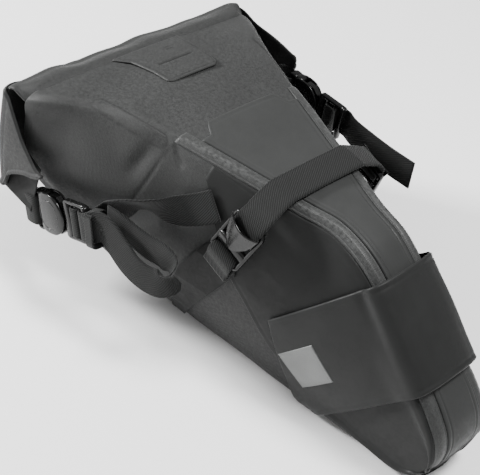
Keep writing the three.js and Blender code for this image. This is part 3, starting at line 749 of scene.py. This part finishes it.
def add_light_patch():
    """The stitched patch with a slit near the mouth, for clipping on a light; it tapers off to the rear."""
    a, b = np.meshgrid(np.linspace(0, 1, 60), np.linspace(0, 1, 60), indexing="ij")
    round_off = 3.0 * np.clip(1 - np.minimum(b, 1 - b) / 0.1, 0, 1) ** 2
    xs = (-276.0 - round_off) * (1 - a) - 330.0 * a
    right = np.interp(a, [0, 0.3, 0.75, 1], [-25.5, -25.5, -28, -36])
    left = np.interp(a, [0, 0.2, 1], [27, 30, 34])
    ys = right * (1 - b) + left * b
    u = u_at_x(xs)
    v = np.clip(2 * ys / np.interp(u, fine_u, TABLE[:, 2 * PER_V, 1]), -4, 4)
    edge = np.minimum.reduce([a * 54, 4 + 0 * a, b * 58, (1 - b) * 58])
    far = np.minimum(a * 54, (1 - b) * 58)
    slit = np.clip(1 - np.abs(xs + 300.5) / 1.5, 0, 1) * np.clip((18 - np.abs(ys - 3)) / 1.0, 0, 1)
    stitch = groove(edge - 2.6, 0.45)
    tack_length = np.clip((4 - np.abs(ys - 11)) / 0.8, 0, 1)
    tack = sum(groove(xs + 317.5 - k, 0.6) * tack_length for k in (-1.6, 1.6))
    lift = 0.25 + 0.9 * eased(edge, 0.8) + 0.25 * np.exp(-far / 3) - 0.3 * stitch - 1.3 * slit - 0.35 * tack
    verts, faces = closed_sheet(surface(u, v, lift), surface(u, v, -0.2 + 0 * xs))
    # Painted shade in the slit, together with the darker stitches and tacks.
    seams_and_shade = np.tile(np.clip(1.5 * slit + 0.8 * stitch + tack, 0, 1.3).ravel(), 2)
    make("light_patch", verts, faces, CLOTH, "bag", ["light_loop_patch"],
         marks={"seams_and_shade": seams_and_shade})


# ------------------------------------------------------------------ straps
def ribbon(name, centres, across, body, replaces=(), width=25.0, thickness=1.6, step=1.6):
    """A strap through centre points, with its width along the given directions; its map is in metres."""
    centres, across = np.array(centres, float), np.array(across, float)
    legs = np.linalg.norm(np.diff(centres, axis=0), axis=1)
    at = np.concatenate([np.arange(len(centres) - 1)[k] + np.arange(0, 1, 1 / max(2, int(leg / step)))
                         for k, leg in enumerate(legs)] + [[len(centres) - 1.0]])
    line = smooth(centres, at)
    wide = smooth(across, at, guide=centres)
    ahead = np.gradient(line, axis=0)
    ahead /= np.linalg.norm(ahead, axis=1, keepdims=True)
    wide -= ahead * np.einsum("ij,ij->i", wide, ahead)[:, None]
    wide /= np.linalg.norm(wide, axis=1, keepdims=True)
    out = np.cross(wide, ahead)
    length = run_along(line)
    h, r = width / 2, thickness / 2
    face = [(-h, 0.35), (-h + 0.5, 0.85), (-h + 1.4, 1), (-h / 2, 1), (0, 1), (h / 2, 1), (h - 1.4, 1),
            (h - 0.5, 0.85), (h, 0.35)]
    ring = [(-h, -0.35)] + face + [(y, -n) for y, n in face[:0:-1]]
    verts, faces = swept([[p + w * y + o * n * r for y, n in ring] for p, w, o in zip(line, wide, out)])
    uv = [(x / 1000, y / 1000) for x in length for y, n in ring]
    return make(name, verts, faces, WEB, body, replaces, uv=uv)


COARSE = TABLE[::4, ::4]
TREE = BVHTree.FromPolygons([Vector(p) for p in COARSE.reshape(-1, 3)], grid_faces(*COARSE.shape[:2]))


def half_width(x, z):
    """Half the width of the bag at a place seen from its side."""
    hit = TREE.ray_cast(Vector((x, 400, z)), Vector((0, -1, 0)))[0]
    return hit.y if hit is not None else 0.0


# Each buckle's x, y and z, and its slope in degrees, up towards the nose.
BUCKLES = {"right": (-309, 113, 62, 22.0), "left": (-270, 115, 120, 0.0)}
SIDES = (("right", -1), ("left", 1))
SOCKET_BODY = {"right": "right_socket", "left": "closure"}
# How far a strap's middle line lies from the bag, and half its width.
STANDOFF = 4.4
WEB_HALF = 12.5


def beside_buckle(side, lengthwise, out):
    x, y, z, angle = BUCKLES[side]
    a = math.radians(angle)
    return x + lengthwise * math.cos(a), y + out, z + lengthwise * math.sin(a), -angle


def strap_beside(path, sign):
    """Centres and width directions of a strap on one side, from points (x, y, z, tilt, lean).

    Without a y the strap lies against the bag; with a lean its upper edge falls outwards by that angle.
    """
    centres, across = [], []
    for x, y, z, tilt, *lean in path:
        a = math.radians(tilt)
        ends = []
        for half in (-WEB_HALF, WEB_HALF):
            ex, ez = x + half * math.sin(a), z + half * math.cos(a)
            ends.append(vec(ex, sign * (y if y is not None else half_width(ex, ez) + STANDOFF), ez))
        if lean:
            turn = math.radians(lean[0])
            raised = 13 * math.sin(turn)
            down = (ends[0] - ends[1]) * math.cos(turn)
            low = vec(ends[1][0] + down[0], 0, ends[1][2] + down[2] + raised)
            low[1] = sign * (half_width(low[0], low[2]) + STANDOFF)
            ends = [low, vec(ends[1][0], low[1] + sign * 25 * math.sin(turn), ends[1][2] + raised)]
        centres.append((ends[0] + ends[1]) / 2)
        across.append(ends[1] - ends[0])
    return centres, across


SIDE_STRAPS = {
    "right": [(-252, 107, 85, -24), (-241, None, 92, -24, 34), (-231, None, 98, -26, 52),
              (-221, None, 104, -30, 54), (-211, None, 110.5, -34, 42), (-202, None, 117, -38, 24),
              (-193, None, 125, -42, 8), (-183, None, 133, -42), (-176, None, 139, -40)],
    "left": [(-208, 102, 120.5, -4), (-201, 93, 122, -10), (-194, None, 125, -20), (-185, None, 131, -32),
             (-176, None, 139, -40)],
}
# The right tail runs out, folds back on itself and tucks its end into the keeper: upper and lower edges.
RIGHT_TAIL = [((-236, 114, 109), (-236, 115, 84)), ((-219, 111.5, 99), (-222, 113, 78)),
              ((-204, 109, 91), (-207, 110.5, 66)), ((-191, 106, 90), (-191, 108, 62)),
              ((-180, 103.5, 93), (-178, 105, 67)), ((-175, 100.5, 98), (-173, 101, 74)),
              ((-178, 97, 104), (-178, 96, 80)), ((-187, 97, 107.5), (-189, 96.5, 84)),
              ((-202, 99.5, 106.5), (-205, 99, 84)), ((-217, 104, 109.5), (-219, 101.5, 87.5)),
              ((-230, 108.5, 114), (-231, 105.5, 91)), ((-238, 110, 114), (-239, 107, 91))]
LEFT_TAIL = [(-195, 114, 122, -3), (-170, 107, 126, -3), (-150, 104, 128, -2), (-124, 103, 130, -2)]


def add_side_straps():
    """On each side, the strap from the bag to the buckle, and the tail that comes back out of it."""
    for side, sign in SIDES:
        start = [beside_buckle(side, 46, -5.2), beside_buckle(side, 54, -5.4)]
        centres, across = strap_beside(start + SIDE_STRAPS[side], sign)
        ribbon(f"side_webbing_{side}", centres, across, "bag", [f"side_strap_{side}"])
        over = [beside_buckle(side, *at) for at in ((54.9, -3.4), (54.9, 2.4), (56.6, 4.2), (62, 4.9))]
        centres, across = strap_beside(over + (LEFT_TAIL if sign > 0 else []), sign)
        if sign < 0:
            for upper, lower in RIGHT_TAIL:
                upper, lower = vec(*upper) * [1, -1, 1], vec(*lower) * [1, -1, 1]
                centres.append((upper + lower) / 2)
                across.append(upper - lower)
        ribbon(f"tail_webbing_{side}", centres, across, f"{side}_plug", [f"strap_tail_{side}"])


def add_keeper():
    """A narrow loop of webbing round the right strap and its tucked-in tail."""
    around = [(12.8, 7.0), (0, 7.6), (-12.8, 7.0), (-13.7, 0), (-12.8, -7.5), (0, -8.2), (12.8, -7.5),
              (13.7, 0), (12.8, 7.0)]
    matrix = buckle_frame("right", -1)
    centres = place(matrix, [(70.5, y, z) for y, z in around])
    ribbon("strap_keeper", centres, [matrix[:3, 0]] * len(centres), "right_plug", width=9.0, thickness=1.4,
           step=1.5)


def local_frame(origin, lengthwise, across):
    """A 4x4 from a fitting's own axes, along, across and out, to millimetres of the bag."""
    matrix = np.eye(4)
    matrix[:3, 0], matrix[:3, 1], matrix[:3, 3] = lengthwise, across, origin
    matrix[:3, 2] = np.cross(lengthwise, across)
    return matrix


def place(matrix, points):
    return np.asarray(points, float) @ matrix[:3, :3].T + matrix[:3, 3]


def buckle_frame(side, sign):
    x, y, z, angle = BUCKLES[side]
    a = math.radians(angle)
    forward = vec(math.cos(a), 0, math.sin(a))
    return local_frame(vec(x, sign * y, z), forward, vec(-forward[2], 0, forward[0]) * -sign)


LOCK_PIVOT = (-151.5, 74, 114)
LOCK_LEAN = (0.28, 0.27, 0.92)


def lock_frame(sign):
    lengthwise = vec(LOCK_LEAN[0], -sign * LOCK_LEAN[1], LOCK_LEAN[2])
    lengthwise /= np.linalg.norm(lengthwise)
    across = np.cross(vec(0, sign, 0), lengthwise)
    return local_frame(vec(LOCK_PIVOT[0], sign * LOCK_PIVOT[1], LOCK_PIVOT[2]), lengthwise,
                       across / np.linalg.norm(across))


def strap_in(matrix, path):
    """Centres and width directions of a strap that runs in a fitting's own along-and-out plane."""
    return list(place(matrix, [(x, 0, z) for x, z in path])), [matrix[:3, 1]] * len(path)


RAIL_X = -142.0
# The strap's way round a ladder lock's middle bar, along and out from the lock.
LOCK_TURN = [(40, 3.6), (32, 3.6), (28.8, 2.9), (27.7, 0), (28.8, -2.9), (32, -3.8), (38, -3.9)]


def add_rail_strap():
    """The strap over the top, whose ends bend down into the two ladder locks and tilt with them."""
    half = [(RAIL_X, 20, 166), (RAIL_X, 28, 165.9), (RAIL_X, 37, 165.6), (RAIL_X + 0.5, 45, 163),
            (RAIL_X + 1.5, 54, 159.6), (RAIL_X + 2.5, 61, 156.6)]
    slant = vec(1, 0, -math.tan(TOP_ANGLE))
    for side, sign in SIDES:
        if sign < 0:
            path = [(RAIL_X, -38, 166.1), (RAIL_X, -20, 166.2), (RAIL_X, 0, 166.2)] + half
            replaced = ["rail_strap", "rail_strap_turn_right"]
        else:
            path = [(RAIL_X, 33, 165.3)] + half[2:]
            replaced = ["rail_strap_turn_left"]
        centres = [vec(x, sign * y, z) for x, y, z in path]
        across = [slant * -sign] * len(centres)
        turn, turned = strap_in(lock_frame(sign), LOCK_TURN)
        flip = 1 if np.dot(turned[0], across[-1]) > 0 else -1
        across += [t * flip for t in turned]
        strap = ribbon(f"rail_webbing_{side}", centres + turn, across, None, replaced)
        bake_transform(strap)


def add_loops():
    """The sewn webbing loops that hold the sockets and the ladder locks."""
    around = [(-15, 1.2), (-12, 4.2), (-7, 6.0), (-1, 6.7), (3, 6.4), (5, 4.8), (5.6, 2), (5.6, -2),
              (5, -4.8), (3, -6.4), (-1, -6.6), (-7, -6.0), (-12, -4.2), (-15, -1.2)]
    tab = [(-17, -3.2), (-11, -1.4), (-4, 2.8), (-0.4, 4.1), (3, 3), (4.4, 0), (3, -3), (-0.4, -4.1),
           (-8, -4.8), (-17, -5.2)]
    for side, sign in SIDES:
        centres, across = strap_in(buckle_frame(side, sign), around)
        ribbon(f"socket_loop_{side}", centres, across, SOCKET_BODY[side], [f"end_loop_{side}"], step=1.0)
        centres, across = strap_in(lock_frame(sign), tab)
        ribbon(f"tab_webbing_{side}", centres, across, "bag", [f"lock_tab_{side}"], step=1.0)


# ------------------------------------------------------------------ moulded fittings
def squircle(count, power):
    """Points round a square with well rounded corners, from -1 to 1."""
    a = (np.arange(count) + 0.5) / count * 2 * math.pi
    c, s = np.cos(a), np.sin(a)
    return np.sign(c) * np.abs(c) ** (2 / power), np.sign(s) * np.abs(s) ** (2 / power)


def merged(solids):
    """Several closed solids as one set of vertices and faces."""
    faces, count = [], 0
    for verts, own_faces in solids:
        faces += [[k + count for k in face] for face in own_faces]
        count += len(verts)
    return np.concatenate([verts for verts, own_faces in solids]), faces


def pod(stations):
    """A rounded solid along local x, from stations (x, half-width, middle z, half-height, crown)."""
    c, s = squircle(28, 4.0)
    stations = smooth(np.array(stations, float), np.arange(0, len(stations) - 1 + 1e-6, 0.25))
    return swept([np.stack([np.full(28, x), hw * c, z + hh * s + crown * (1 - c * c) * (s > 0)], -1)
                  for x, hw, z, hh, crown in stations])


def bar(x, half_y, z, half_x, half_z):
    """A rounded crossbar along local y."""
    c, s = squircle(16, 3.0)
    return swept([np.stack([x + half_x * size * c, np.full(16, half_y * share), z + half_z * size * s], -1)
                  for share, size in ((-1, 0.75), (-0.94, 1), (0, 1), (0.94, 1), (1, 0.75))])


def hoop(x_low, x_high, half_y, corner, half, half_z, bend=0.0):
    """A closed rounded frame round a rectangle in local x and y, its two ends bent outwards."""
    path = []
    for cx, cy, start in ((x_high - corner, half_y - corner, 0), (x_low + corner, half_y - corner, 90),
                          (x_low + corner, corner - half_y, 180), (x_high - corner, corner - half_y, 270)):
        for step in range(7):
            a = math.radians(start + step * 15)
            path.append((cx + corner * math.cos(a), cy + corner * math.sin(a), a))
    c, s = squircle(14, 3.0)
    middle = (x_low + x_high) / 2
    return swept_round([np.stack([x + half * c * math.cos(a), y + half * c * math.sin(a),
                                  bend * ((x - middle) / (x_high - middle)) ** 2 + half_z * s], -1)
                        for x, y, a in path])


def socket_solids():
    """A buckle's socket: a frame for its loop, two curved plates joined by side walls, and a raised oval."""
    plate = [(7.6, 12.6, 3.9, 0.9, 0.2), (8.8, 15.0, 4.2, 1.2, 0.6), (12, 16.6, 4.3, 1.3, 1.5),
             (18, 17.3, 4.3, 1.3, 2.0), (24, 16.7, 4.3, 1.3, 2.0), (28.5, 14.4, 4.3, 1.3, 1.6),
             (32, 11.0, 4.2, 1.2, 1.1), (34.6, 6.6, 4.0, 1.0, 0.6), (35.8, 2.4, 3.8, 0.6, 0.2)]
    under = [(x, hw, -z, hh, 0.0) for x, hw, z, hh, crown in plate]
    wall, wall_faces = pod([(7.5, 1.6, 0, 3.2, 0), (8, 2, 0, 3.6, 0), (14.5, 2, 0, 3.6, 0),
                            (15.5, 1.4, 0, 3.0, 0)])
    walls = [(wall + [0, y, 0], wall_faces) for y in (-14.6, 14.6)]
    c, s = squircle(8, 2.0)
    oval = []
    for angle in np.arange(60) * 2 * math.pi / 60:
        x, y = 20.5 + 10.5 * math.cos(angle), 12.4 * math.sin(angle)
        z = 5.55 + 2.0 * (1 - (y / 17.0) ** 2) - 0.010 * (x - 20) ** 2
        oval.append(np.stack([x + 0.5 * c * math.cos(angle), y + 0.5 * c * math.sin(angle),
                              z + 0.4 * s], -1))
    return [hoop(1.9, 9.2, 15.4, 2.5, 1.8, 4.6), pod(plate), pod(under), *walls, swept_round(oval)]


def plug_solids():
    """A buckle's plug: a frame with three crossbars for the strap, and the tongue between its arms."""
    tongue = pod([(12.5, 1.2, 0, 1.4, 0), (14, 2.5, 0, 2.2, 0), (30, 2.8, 0, 2.3, 0), (36, 3.2, 0, 2.4, 0)])
    return [hoop(36.6, 60.4, 14.7, 2.4, 1.9, 2.7), bar(38.4, 15, 0, 3.6, 3.1), bar(48.8, 14.5, 0, 2.2, 2.1),
            bar(60, 15.6, 0.3, 2.4, 3.2), tongue]


def lock_solids():
    """A ladder lock: its frame, three bars and a sprung lift tab with a hollow upper edge."""
    a, b = np.meshgrid(np.linspace(0, 1, 40), np.linspace(-1, 1, 41), indexing="ij")
    half = np.interp(a, [0, 0.15, 0.4, 0.7, 0.9, 1], [5.5, 7.6, 11.2, 13.6, 14.6, 14.9])
    x = 9 + a * (31 + 5.5 * b * b - 9)
    z = 3.0 + 6.6 * a ** 1.15 - 2.2 * b * b * (1 - 0.4 * a)
    top = np.stack([x, half * b, z], -1)
    height = eased(np.minimum.reduce([a * 24, (1 - a) * 24, (1 - np.abs(b)) * half]), 0.9)[..., None]
    tab = closed_sheet(top + [0, 0, 0.8] * height, top - [0, 0, 1.0] * (0.2 + height))
    return [hoop(0.2, 36.3, 14.0, 3.0, 1.6, 2.3, bend=0.8), bar(11.6, 14, 0.6, 3.6, 2.6),
            bar(23, 14, 0, 1.9, 1.9), bar(33.8, 14, 0, 2.7, 2.2), tab]


def add_moulded(name, matrix, solids, body, replaced):
    verts, faces = merged(solids)
    make(name, place(matrix, verts), faces, PLASTIC, body, [replaced])


def add_fittings():
    """Buckles, locks and the pieces whose plain shape is kept, with rounded edges and their own finish."""
    for side, sign in SIDES:
        matrix, lock_matrix = buckle_frame(side, sign), lock_frame(sign)
        add_moulded(f"buckle_socket_{side}", matrix, socket_solids(), SOCKET_BODY[side], f"socket_{side}")
        add_moulded(f"buckle_plug_{side}", matrix, plug_solids(), f"{side}_plug", f"plug_{side}")
        add_moulded(f"ladder_lock_{side}", lock_matrix, lock_solids(), f"{side}_lock", f"rail_lock_{side}")
        centres, across = strap_in(matrix, [(44.4, -3.4), (44.4, 1.8), (45.6, 3.5), (48.8, 4.0), (51.6, 3.5),
                                            (52.7, 1.8), (52.7, -3.4)])
        ribbon(f"plug_webbing_{side}", centres, across, f"{side}_plug", step=1.0)
        for name in (f"plug_arm_upper_{side}", f"plug_arm_lower_{side}"):
            dress(name, PLASTIC, 0.8)
        dress(f"wing_patch_{side}", WING, 0.2)
    for name in ("base_stiffener", "seatpost_stiffener", "closing_batten"):
        dress(name, BOARD, 0.3)
    for name in ("band_hook_patch", "band_loop_patch"):
        dress(name, PILE, 0.2)


def dress(node_name, material, width):
    """Gives a piece of the frame its finish and rounds its edges, by a width in millimetres."""
    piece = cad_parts[node_name]
    piece.data.materials.clear()
    piece.data.materials.append(material)
    bevel = piece.modifiers.new("rounded", "BEVEL")
    bevel.width = width / 1000
    bevel.segments = 3
    bevel.limit_method = "ANGLE"
    bevel.angle_limit = math.radians(35)


# ------------------------------------------------------------------ seatpost band
# The band's lower and upper edges, as distances up the face, and the rows and columns of its middle.
BAND_LOW, BAND_HIGH = 20, 105
ROWS, COLUMNS = 80, 200
# Places down each side, as shares of the way to the rear edge, and across the face (y and height over it).
SIDE_SHARES = (1, 0.89, 0.74, 0.59, 0.45, 0.3, 0.18, 0.09)
OVER_FACE = ((-33.4, -1.5), (-30.5, 2.6), (-24.5, 5.4), (-13, 7.2), (0, 7.6), (13, 7.2), (24.5, 5.4),
             (31.5, 2.6), (34.2, -1.5))
GROUND_GAP = 3.0


def band_reach(s):
    """How far the band's rear edge lies behind the face, at distance s up the face, above the ground."""
    to_ground = (FACE_START[2] - GROUND_GAP + FACE_UP[2] * s) / FACE_OUT[2]
    return np.minimum(np.interp(s, [39, 71.5, 105], [117, 101, 87]), to_ground)


def band_grid():
    """The middle of the band: rows up the bag's face, columns from the right side over to the left."""
    rows = []
    for s in np.linspace(BAND_LOW, BAND_HIGH, ROWS):
        def side_point(share, sign, standoff):
            p = on_face(s) - FACE_OUT * share * band_reach(s)
            return p + vec(0, sign * (half_width(p[0], p[2]) + standoff), 0)
        line = [side_point(share, -1, 3.5) for share in SIDE_SHARES]
        line += [on_face(s) + FACE_OUT * h + vec(0, y, 0) for y, h in OVER_FACE]
        line += [side_point(share, 1, 4.9) for share in SIDE_SHARES[::-1]]
        rows.append(smooth(np.array(line), np.linspace(0, len(line) - 1, COLUMNS)))
    grid = np.array(rows)
    grid[..., 2] = np.maximum(grid[..., 2], GROUND_GAP)
    out = facing(grid)
    out *= 1 if out[ROWS // 2, COLUMNS // 2] @ FACE_OUT > 0 else -1
    return grid + out * 0.35 * waves(grid.reshape(-1, 3), 21, 70).reshape(ROWS, COLUMNS, 1), out


def add_band():
    """One wide sheet from the right side, over the face and down the left side, with a plain silver tab."""
    grid, out = band_grid()
    row_edge = from_ends(ROWS, BAND_HIGH - BAND_LOW)[:, None]
    edge = np.minimum(row_edge, from_ends(COLUMNS, 1.2 * (COLUMNS - 1)))
    thick = 1.3 * eased(edge + 0.02, 1.0) - 0.35 * groove(row_edge - 4.6, 0.9)
    verts, faces = closed_sheet(grid + out * thick[..., None], grid)
    band = make("seatpost_band_cloth", verts, faces, BAND, None, ["seatpost_band", "band_flap"])
    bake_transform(band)

    low, high, front, rear = 46, 78, 62, 96
    heights = np.linspace(low, high, 40)[:, None]
    share = np.linspace(rear, front, 44) / band_reach(heights)
    places = len(SIDE_SHARES) * 2 + len(OVER_FACE) - 1
    j = np.interp(share, SIDE_SHARES[::-1], np.arange(len(SIDE_SHARES))[::-1]) * (COLUMNS - 1) / places
    i = (heights - BAND_LOW) / (BAND_HIGH - BAND_LOW) * (ROWS - 1) + 0 * j
    i0, j0 = i.astype(int), j.astype(int)
    fi, fj = (i - i0)[..., None], (j - j0)[..., None]

    def sampled(table):
        return ((table[i0, j0] * (1 - fj) + table[i0, j0 + 1] * fj) * (1 - fi)
                + (table[i0 + 1, j0] * (1 - fj) + table[i0 + 1, j0 + 1] * fj) * fi)
    base, normal = sampled(grid), sampled(out)
    edge = np.minimum(from_ends(40, high - low)[:, None], from_ends(44, rear - front))
    lift = 1.2 + 0.7 * eased(edge + 0.02, 0.7) - 0.3 * groove(edge - 1.7, 0.45)
    verts, faces = closed_sheet(base + normal * lift[..., None], base + normal * 0.9)
    make("silver_tab", verts, faces, SILVER, "bag", ["reflective_tab"])


# ------------------------------------------------------------------ rolled closure
EAR_Y = 122.6
RIM_ROWS = 90
# Round the roll, from the right ear's tip over the back to the left ear's tip: x, y, top and bottom.
WRAP = [(-299, -121.6, 104, 101.5), (-303, -122, 104, 98.5), (-317.6, -EAR_Y, 115, 92.5),
        (-336, -EAR_Y - 0.3, 137, 79), (-345, -EAR_Y, 148, 67), (-350.5, -121.8, 152, 65),
        (-352.6, -118, 152.4, 64.5), (-352.8, -100, 152, 64), (-352.2, -50, 152, 62.5),
        (-352.8, 0, 151, 63.5), (-352.2, 50, 152, 62.5), (-352.8, 100, 152.5, 64), (-352.6, 118, 152, 64.5),
        (-350.5, 121.8, 151.5, 65), (-345, EAR_Y, 152, 62.5),
        (-327, EAR_Y, 148.5, 64), (-300, EAR_Y - 0.4, 146.8, 84), (-281, 121.6, 144.5, 104),
        (-274, 121, 143, 130), (-272.5, 120.8, 141, 134)]


def add_wrap():
    """The back of the roll with its two ends folded forwards along the bag."""
    lines = smooth(np.array(WRAP, float), np.arange(0, len(WRAP) - 1 + 1e-6, 0.05))
    t = np.linspace(0, 1, 70)
    x, y, top, bottom = (lines[:, k][:, None] for k in range(4))
    z = bottom + (top - bottom) * t
    lean = np.clip((-335 - x) / 12, 0, 1)
    grid = np.stack([x + 0.085 * (150 - z) * lean, np.broadcast_to(y, z.shape), z], -1)
    flat = grid.reshape(-1, 3)
    ripple = (0.9 * waves(flat, 31, 80) + 0.3 * waves(flat, 32, 26)).reshape(z.shape)
    rear = np.broadcast_to(np.clip((110 - np.abs(y)) / 8, 0, 1), z.shape)
    ripple *= 0.4 + 0.6 * rear
    run = run_along(lines[:, :2])[:, None]
    up = z - bottom
    edge = np.minimum(np.minimum(up, top - z), np.minimum(run, run[-1] - run))
    bead = 1.3 * eased(up + 0.01, 1.2) * np.clip(1 - (up - 3.5) / 2.0, 0, 1)
    layers = rear * (1.3 * np.clip((z - 92) / 1.2, 0, 1) + 1.1 * np.clip((z - 121) / 1.2, 0, 1)
                     - 3.0 * np.clip((z - 127) / 3, 0, 1))
    stitch = rear * (groove(up - 9, 0.6) + rear * groove(z - 125.5, 0.6))
    ear = 1.6 * (1 - rear) * np.sin(math.pi * t) * np.clip((top - bottom) / 60, 0, 1)
    lift = 2.2 * eased(edge + 0.02, 1.4) + bead + layers - 0.45 * stitch + ripple + ear
    out = facing(grid)
    out *= -1 if out[len(grid) // 2, len(t) // 2, 0] > 0 else 1
    verts, faces = closed_sheet(grid + out * lift[..., None], grid + out * ripple[..., None])
    make("rolled_mouth", verts, faces, ROLL_CLOTH, "closure", ["closing_roll"],
         marks={"seams_and_shade": np.tile(np.clip(0.7 * stitch, 0, 1).ravel(), 2)})


def add_rim():
    """The top of the roll: the bag's cloth runs on over it and down the back."""
    w = np.linspace(-119.5, 119.5, 150)

    def top_at(u):
        row = surface(u, np.linspace(-4.6, 4.6, 200))
        return np.interp(w, row[:, 1], row[:, 2])
    front, mouth = top_at(17.5), top_at(18.0)
    crest = 153.4 + 0.9 * np.sin(w / 17 + 0.6) + 0.6 * np.sin(w / 7.3)
    crest -= 0.004 * np.maximum(0, np.abs(w) - 60) ** 1.3
    end = np.clip((np.abs(w) - 113) / 6.5, 0, 1) ** 2
    front, mouth = np.maximum(front, 150) - 1.0 * end, np.maximum(mouth, 149) - 1.5 * end
    x_front = surface(17.5, 0.0)[0]
    path = [(x_front, front - 5), (x_front - 4, mouth - 3), (-330.6, mouth - 0.7), (-334.5, mouth + 0.35),
            (-341.5, mouth * 0.5 + crest * 0.5 + 1.2), (-347, crest + 1.1), (-351, crest - 0.3),
            (-353.4, crest - 3.2), (-354.6, crest - 8 - end), (-354.6, crest - 16 - 2 * end),
            (-353.4, crest - 24 - 3 * end)]
    rows = np.array([[(x, y, float(z[k])) for k, y in enumerate(w)] for x, z in path])
    rows[..., 0] += 2.2 * end
    middle = len(w) // 2
    rows[..., 1] *= np.interp(rows[:, middle, 0], [-352, -345, -331], [1.0, 0.99, 0.95])[:, None]
    grid = smooth(rows, np.linspace(0, len(rows) - 1, RIM_ROWS))
    flat = grid.reshape(-1, 3)
    ripple = (0.5 * waves(flat, 41, 60) + 0.25 * waves(flat, 42, 24)).reshape(grid.shape[:2])
    ripple *= np.clip(np.linspace(0, 4, RIM_ROWS), 0, 1)[:, None]
    out = facing(grid)
    if out[RIM_ROWS // 2, middle, 2] < 0:
        out = -out
    part = np.linspace(0, 1, RIM_ROWS)[:, None] + 0 * w
    hem = groove(part - 0.93, 0.012)
    thick = 1.5 * eased(part * 30, 3.0) * eased((1 - part) * 60 + 0.02, 1.2) - 0.3 * hem
    outer = grid + out * (ripple + thick)[..., None]
    verts, faces = closed_sheet(outer, grid + out * (ripple - 0.4)[..., None])
    make("mouth_rim", verts, faces, CLOTH, "closure", ["closing_roll"],
         marks={"seams_and_shade": np.tile((0.6 * hem).ravel(), 2)})


def add_ear_linings():
    """The inner layer of each ear, under the folded edge, where the buckle's loop comes out."""
    a = np.linspace(0, 1, 30)[:, None, None]
    b = np.linspace(0, 1, 30)[:, None]
    low = vec(-346, 122.2, 65.5) * (1 - a) + vec(-309, 121.4, 60.5) * a
    high = vec(-346, 114.5, 112) * (1 - a) + vec(-309, 115.5, 100) * a
    hollow = vec(0, 1.5, 0) * np.sin(math.pi * a) * np.sin(math.pi * b)
    edge = np.minimum(np.minimum(a, 1 - a), np.minimum(b, 1 - b)) * 36
    thick = vec(0, 1, 0) * (0.5 + 0.9 * eased(edge, 1.0))
    for side, sign in SIDES:
        grid = (low * (1 - b) + high * b - hollow) * [1, sign, 1]
        verts, faces = closed_sheet(grid, grid - thick * sign)
        make(f"ear_lining_{side}", verts, faces, WING, "closure", ["closing_roll"])


# ------------------------------------------------------------------ room, light and camera
def add_room():
    """A plain pale floor, an even white surround and three soft lights that face the bag's middle."""
    floor = bpy.data.materials.new("pale_floor")
    floor.use_nodes = True
    shader = floor.node_tree.nodes["Principled BSDF"]
    shader.inputs["Base Color"].default_value = (0.95, 0.95, 0.95, 1)
    shader.inputs["Roughness"].default_value = 0.9
    mesh = bpy.data.meshes.new("floor")
    far, level = 6, -0.0006
    corners = [(x, y, level) for x, y in ((-far, -far), (far, -far), (far, far), (-far, far))]
    mesh.from_pydata(corners, [], [(0, 1, 2, 3)])
    mesh.materials.append(floor)
    plane = bpy.data.objects.new("floor", mesh)
    bpy.context.scene.collection.objects.link(plane)
    world = bpy.data.worlds.new("studio")
    bpy.context.scene.world = world
    world.use_nodes = True
    world.node_tree.nodes["Background"].inputs["Color"].default_value = (1, 1, 1, 1)
    world.node_tree.nodes["Background"].inputs["Strength"].default_value = 0.5
    lights = (("key", (-1.4, -0.85, 0.85), 74, 0.3), ("top", (0.45, 0.35, 1.8), 50, 0.5),
              ("fill", (1.2, -0.9, 1.2), 2, 1.4))
    for name, spot, watts, size in lights:
        light = bpy.data.lights.new(name, "AREA")
        light.energy = watts
        light.size = size
        lamp = bpy.data.objects.new(name, light)
        lamp.location = spot
        lamp.rotation_mode = "QUATERNION"
        lamp.rotation_quaternion = (Vector((0, 0, 0.08)) - Vector(spot)).to_track_quat("-Z", "Y")
        bpy.context.scene.collection.objects.link(lamp)


def add_camera():
    """Looks down on the right side from ahead, tipped a little clockwise."""
    azimuth, elevation, roll = math.radians(36.25), math.radians(40.87), math.radians(14.01)
    level = math.cos(elevation)
    back = Vector((math.sin(azimuth) * level, -math.cos(azimuth) * level, math.sin(elevation)))
    flat_right = Vector((math.cos(azimuth), math.sin(azimuth), 0))
    flat_up = back.cross(flat_right)
    right = flat_right * math.cos(roll) + flat_up * math.sin(roll)
    up = flat_up * math.cos(roll) - flat_right * math.sin(roll)
    data = bpy.data.cameras.new("camera")
    data.lens, data.sensor_width = 96.35, 36
    data.clip_start, data.clip_end = 0.05, 20
    camera = bpy.data.objects.new("camera", data)
    spot = (vec(262.1, -624.6, 730.1) + SHIFT) / 1000
    rows = [[right[k], up[k], back[k], spot[k]] for k in range(3)] + [[0, 0, 0, 1]]
    camera.matrix_world = Matrix(rows)
    bpy.context.scene.collection.objects.link(camera)
    bpy.context.scene.camera = camera


add_camera()
add_shell()
add_top_panel()
for side_name, side_sign in SIDES:
    add_side_panel(side_name, side_sign)
    add_ridge(side_name, side_sign)
add_light_patch()
add_wrap()
add_rim()
add_ear_linings()
add_rail_strap()
add_side_straps()
add_keeper()
add_loops()
add_fittings()
add_band()
add_room()
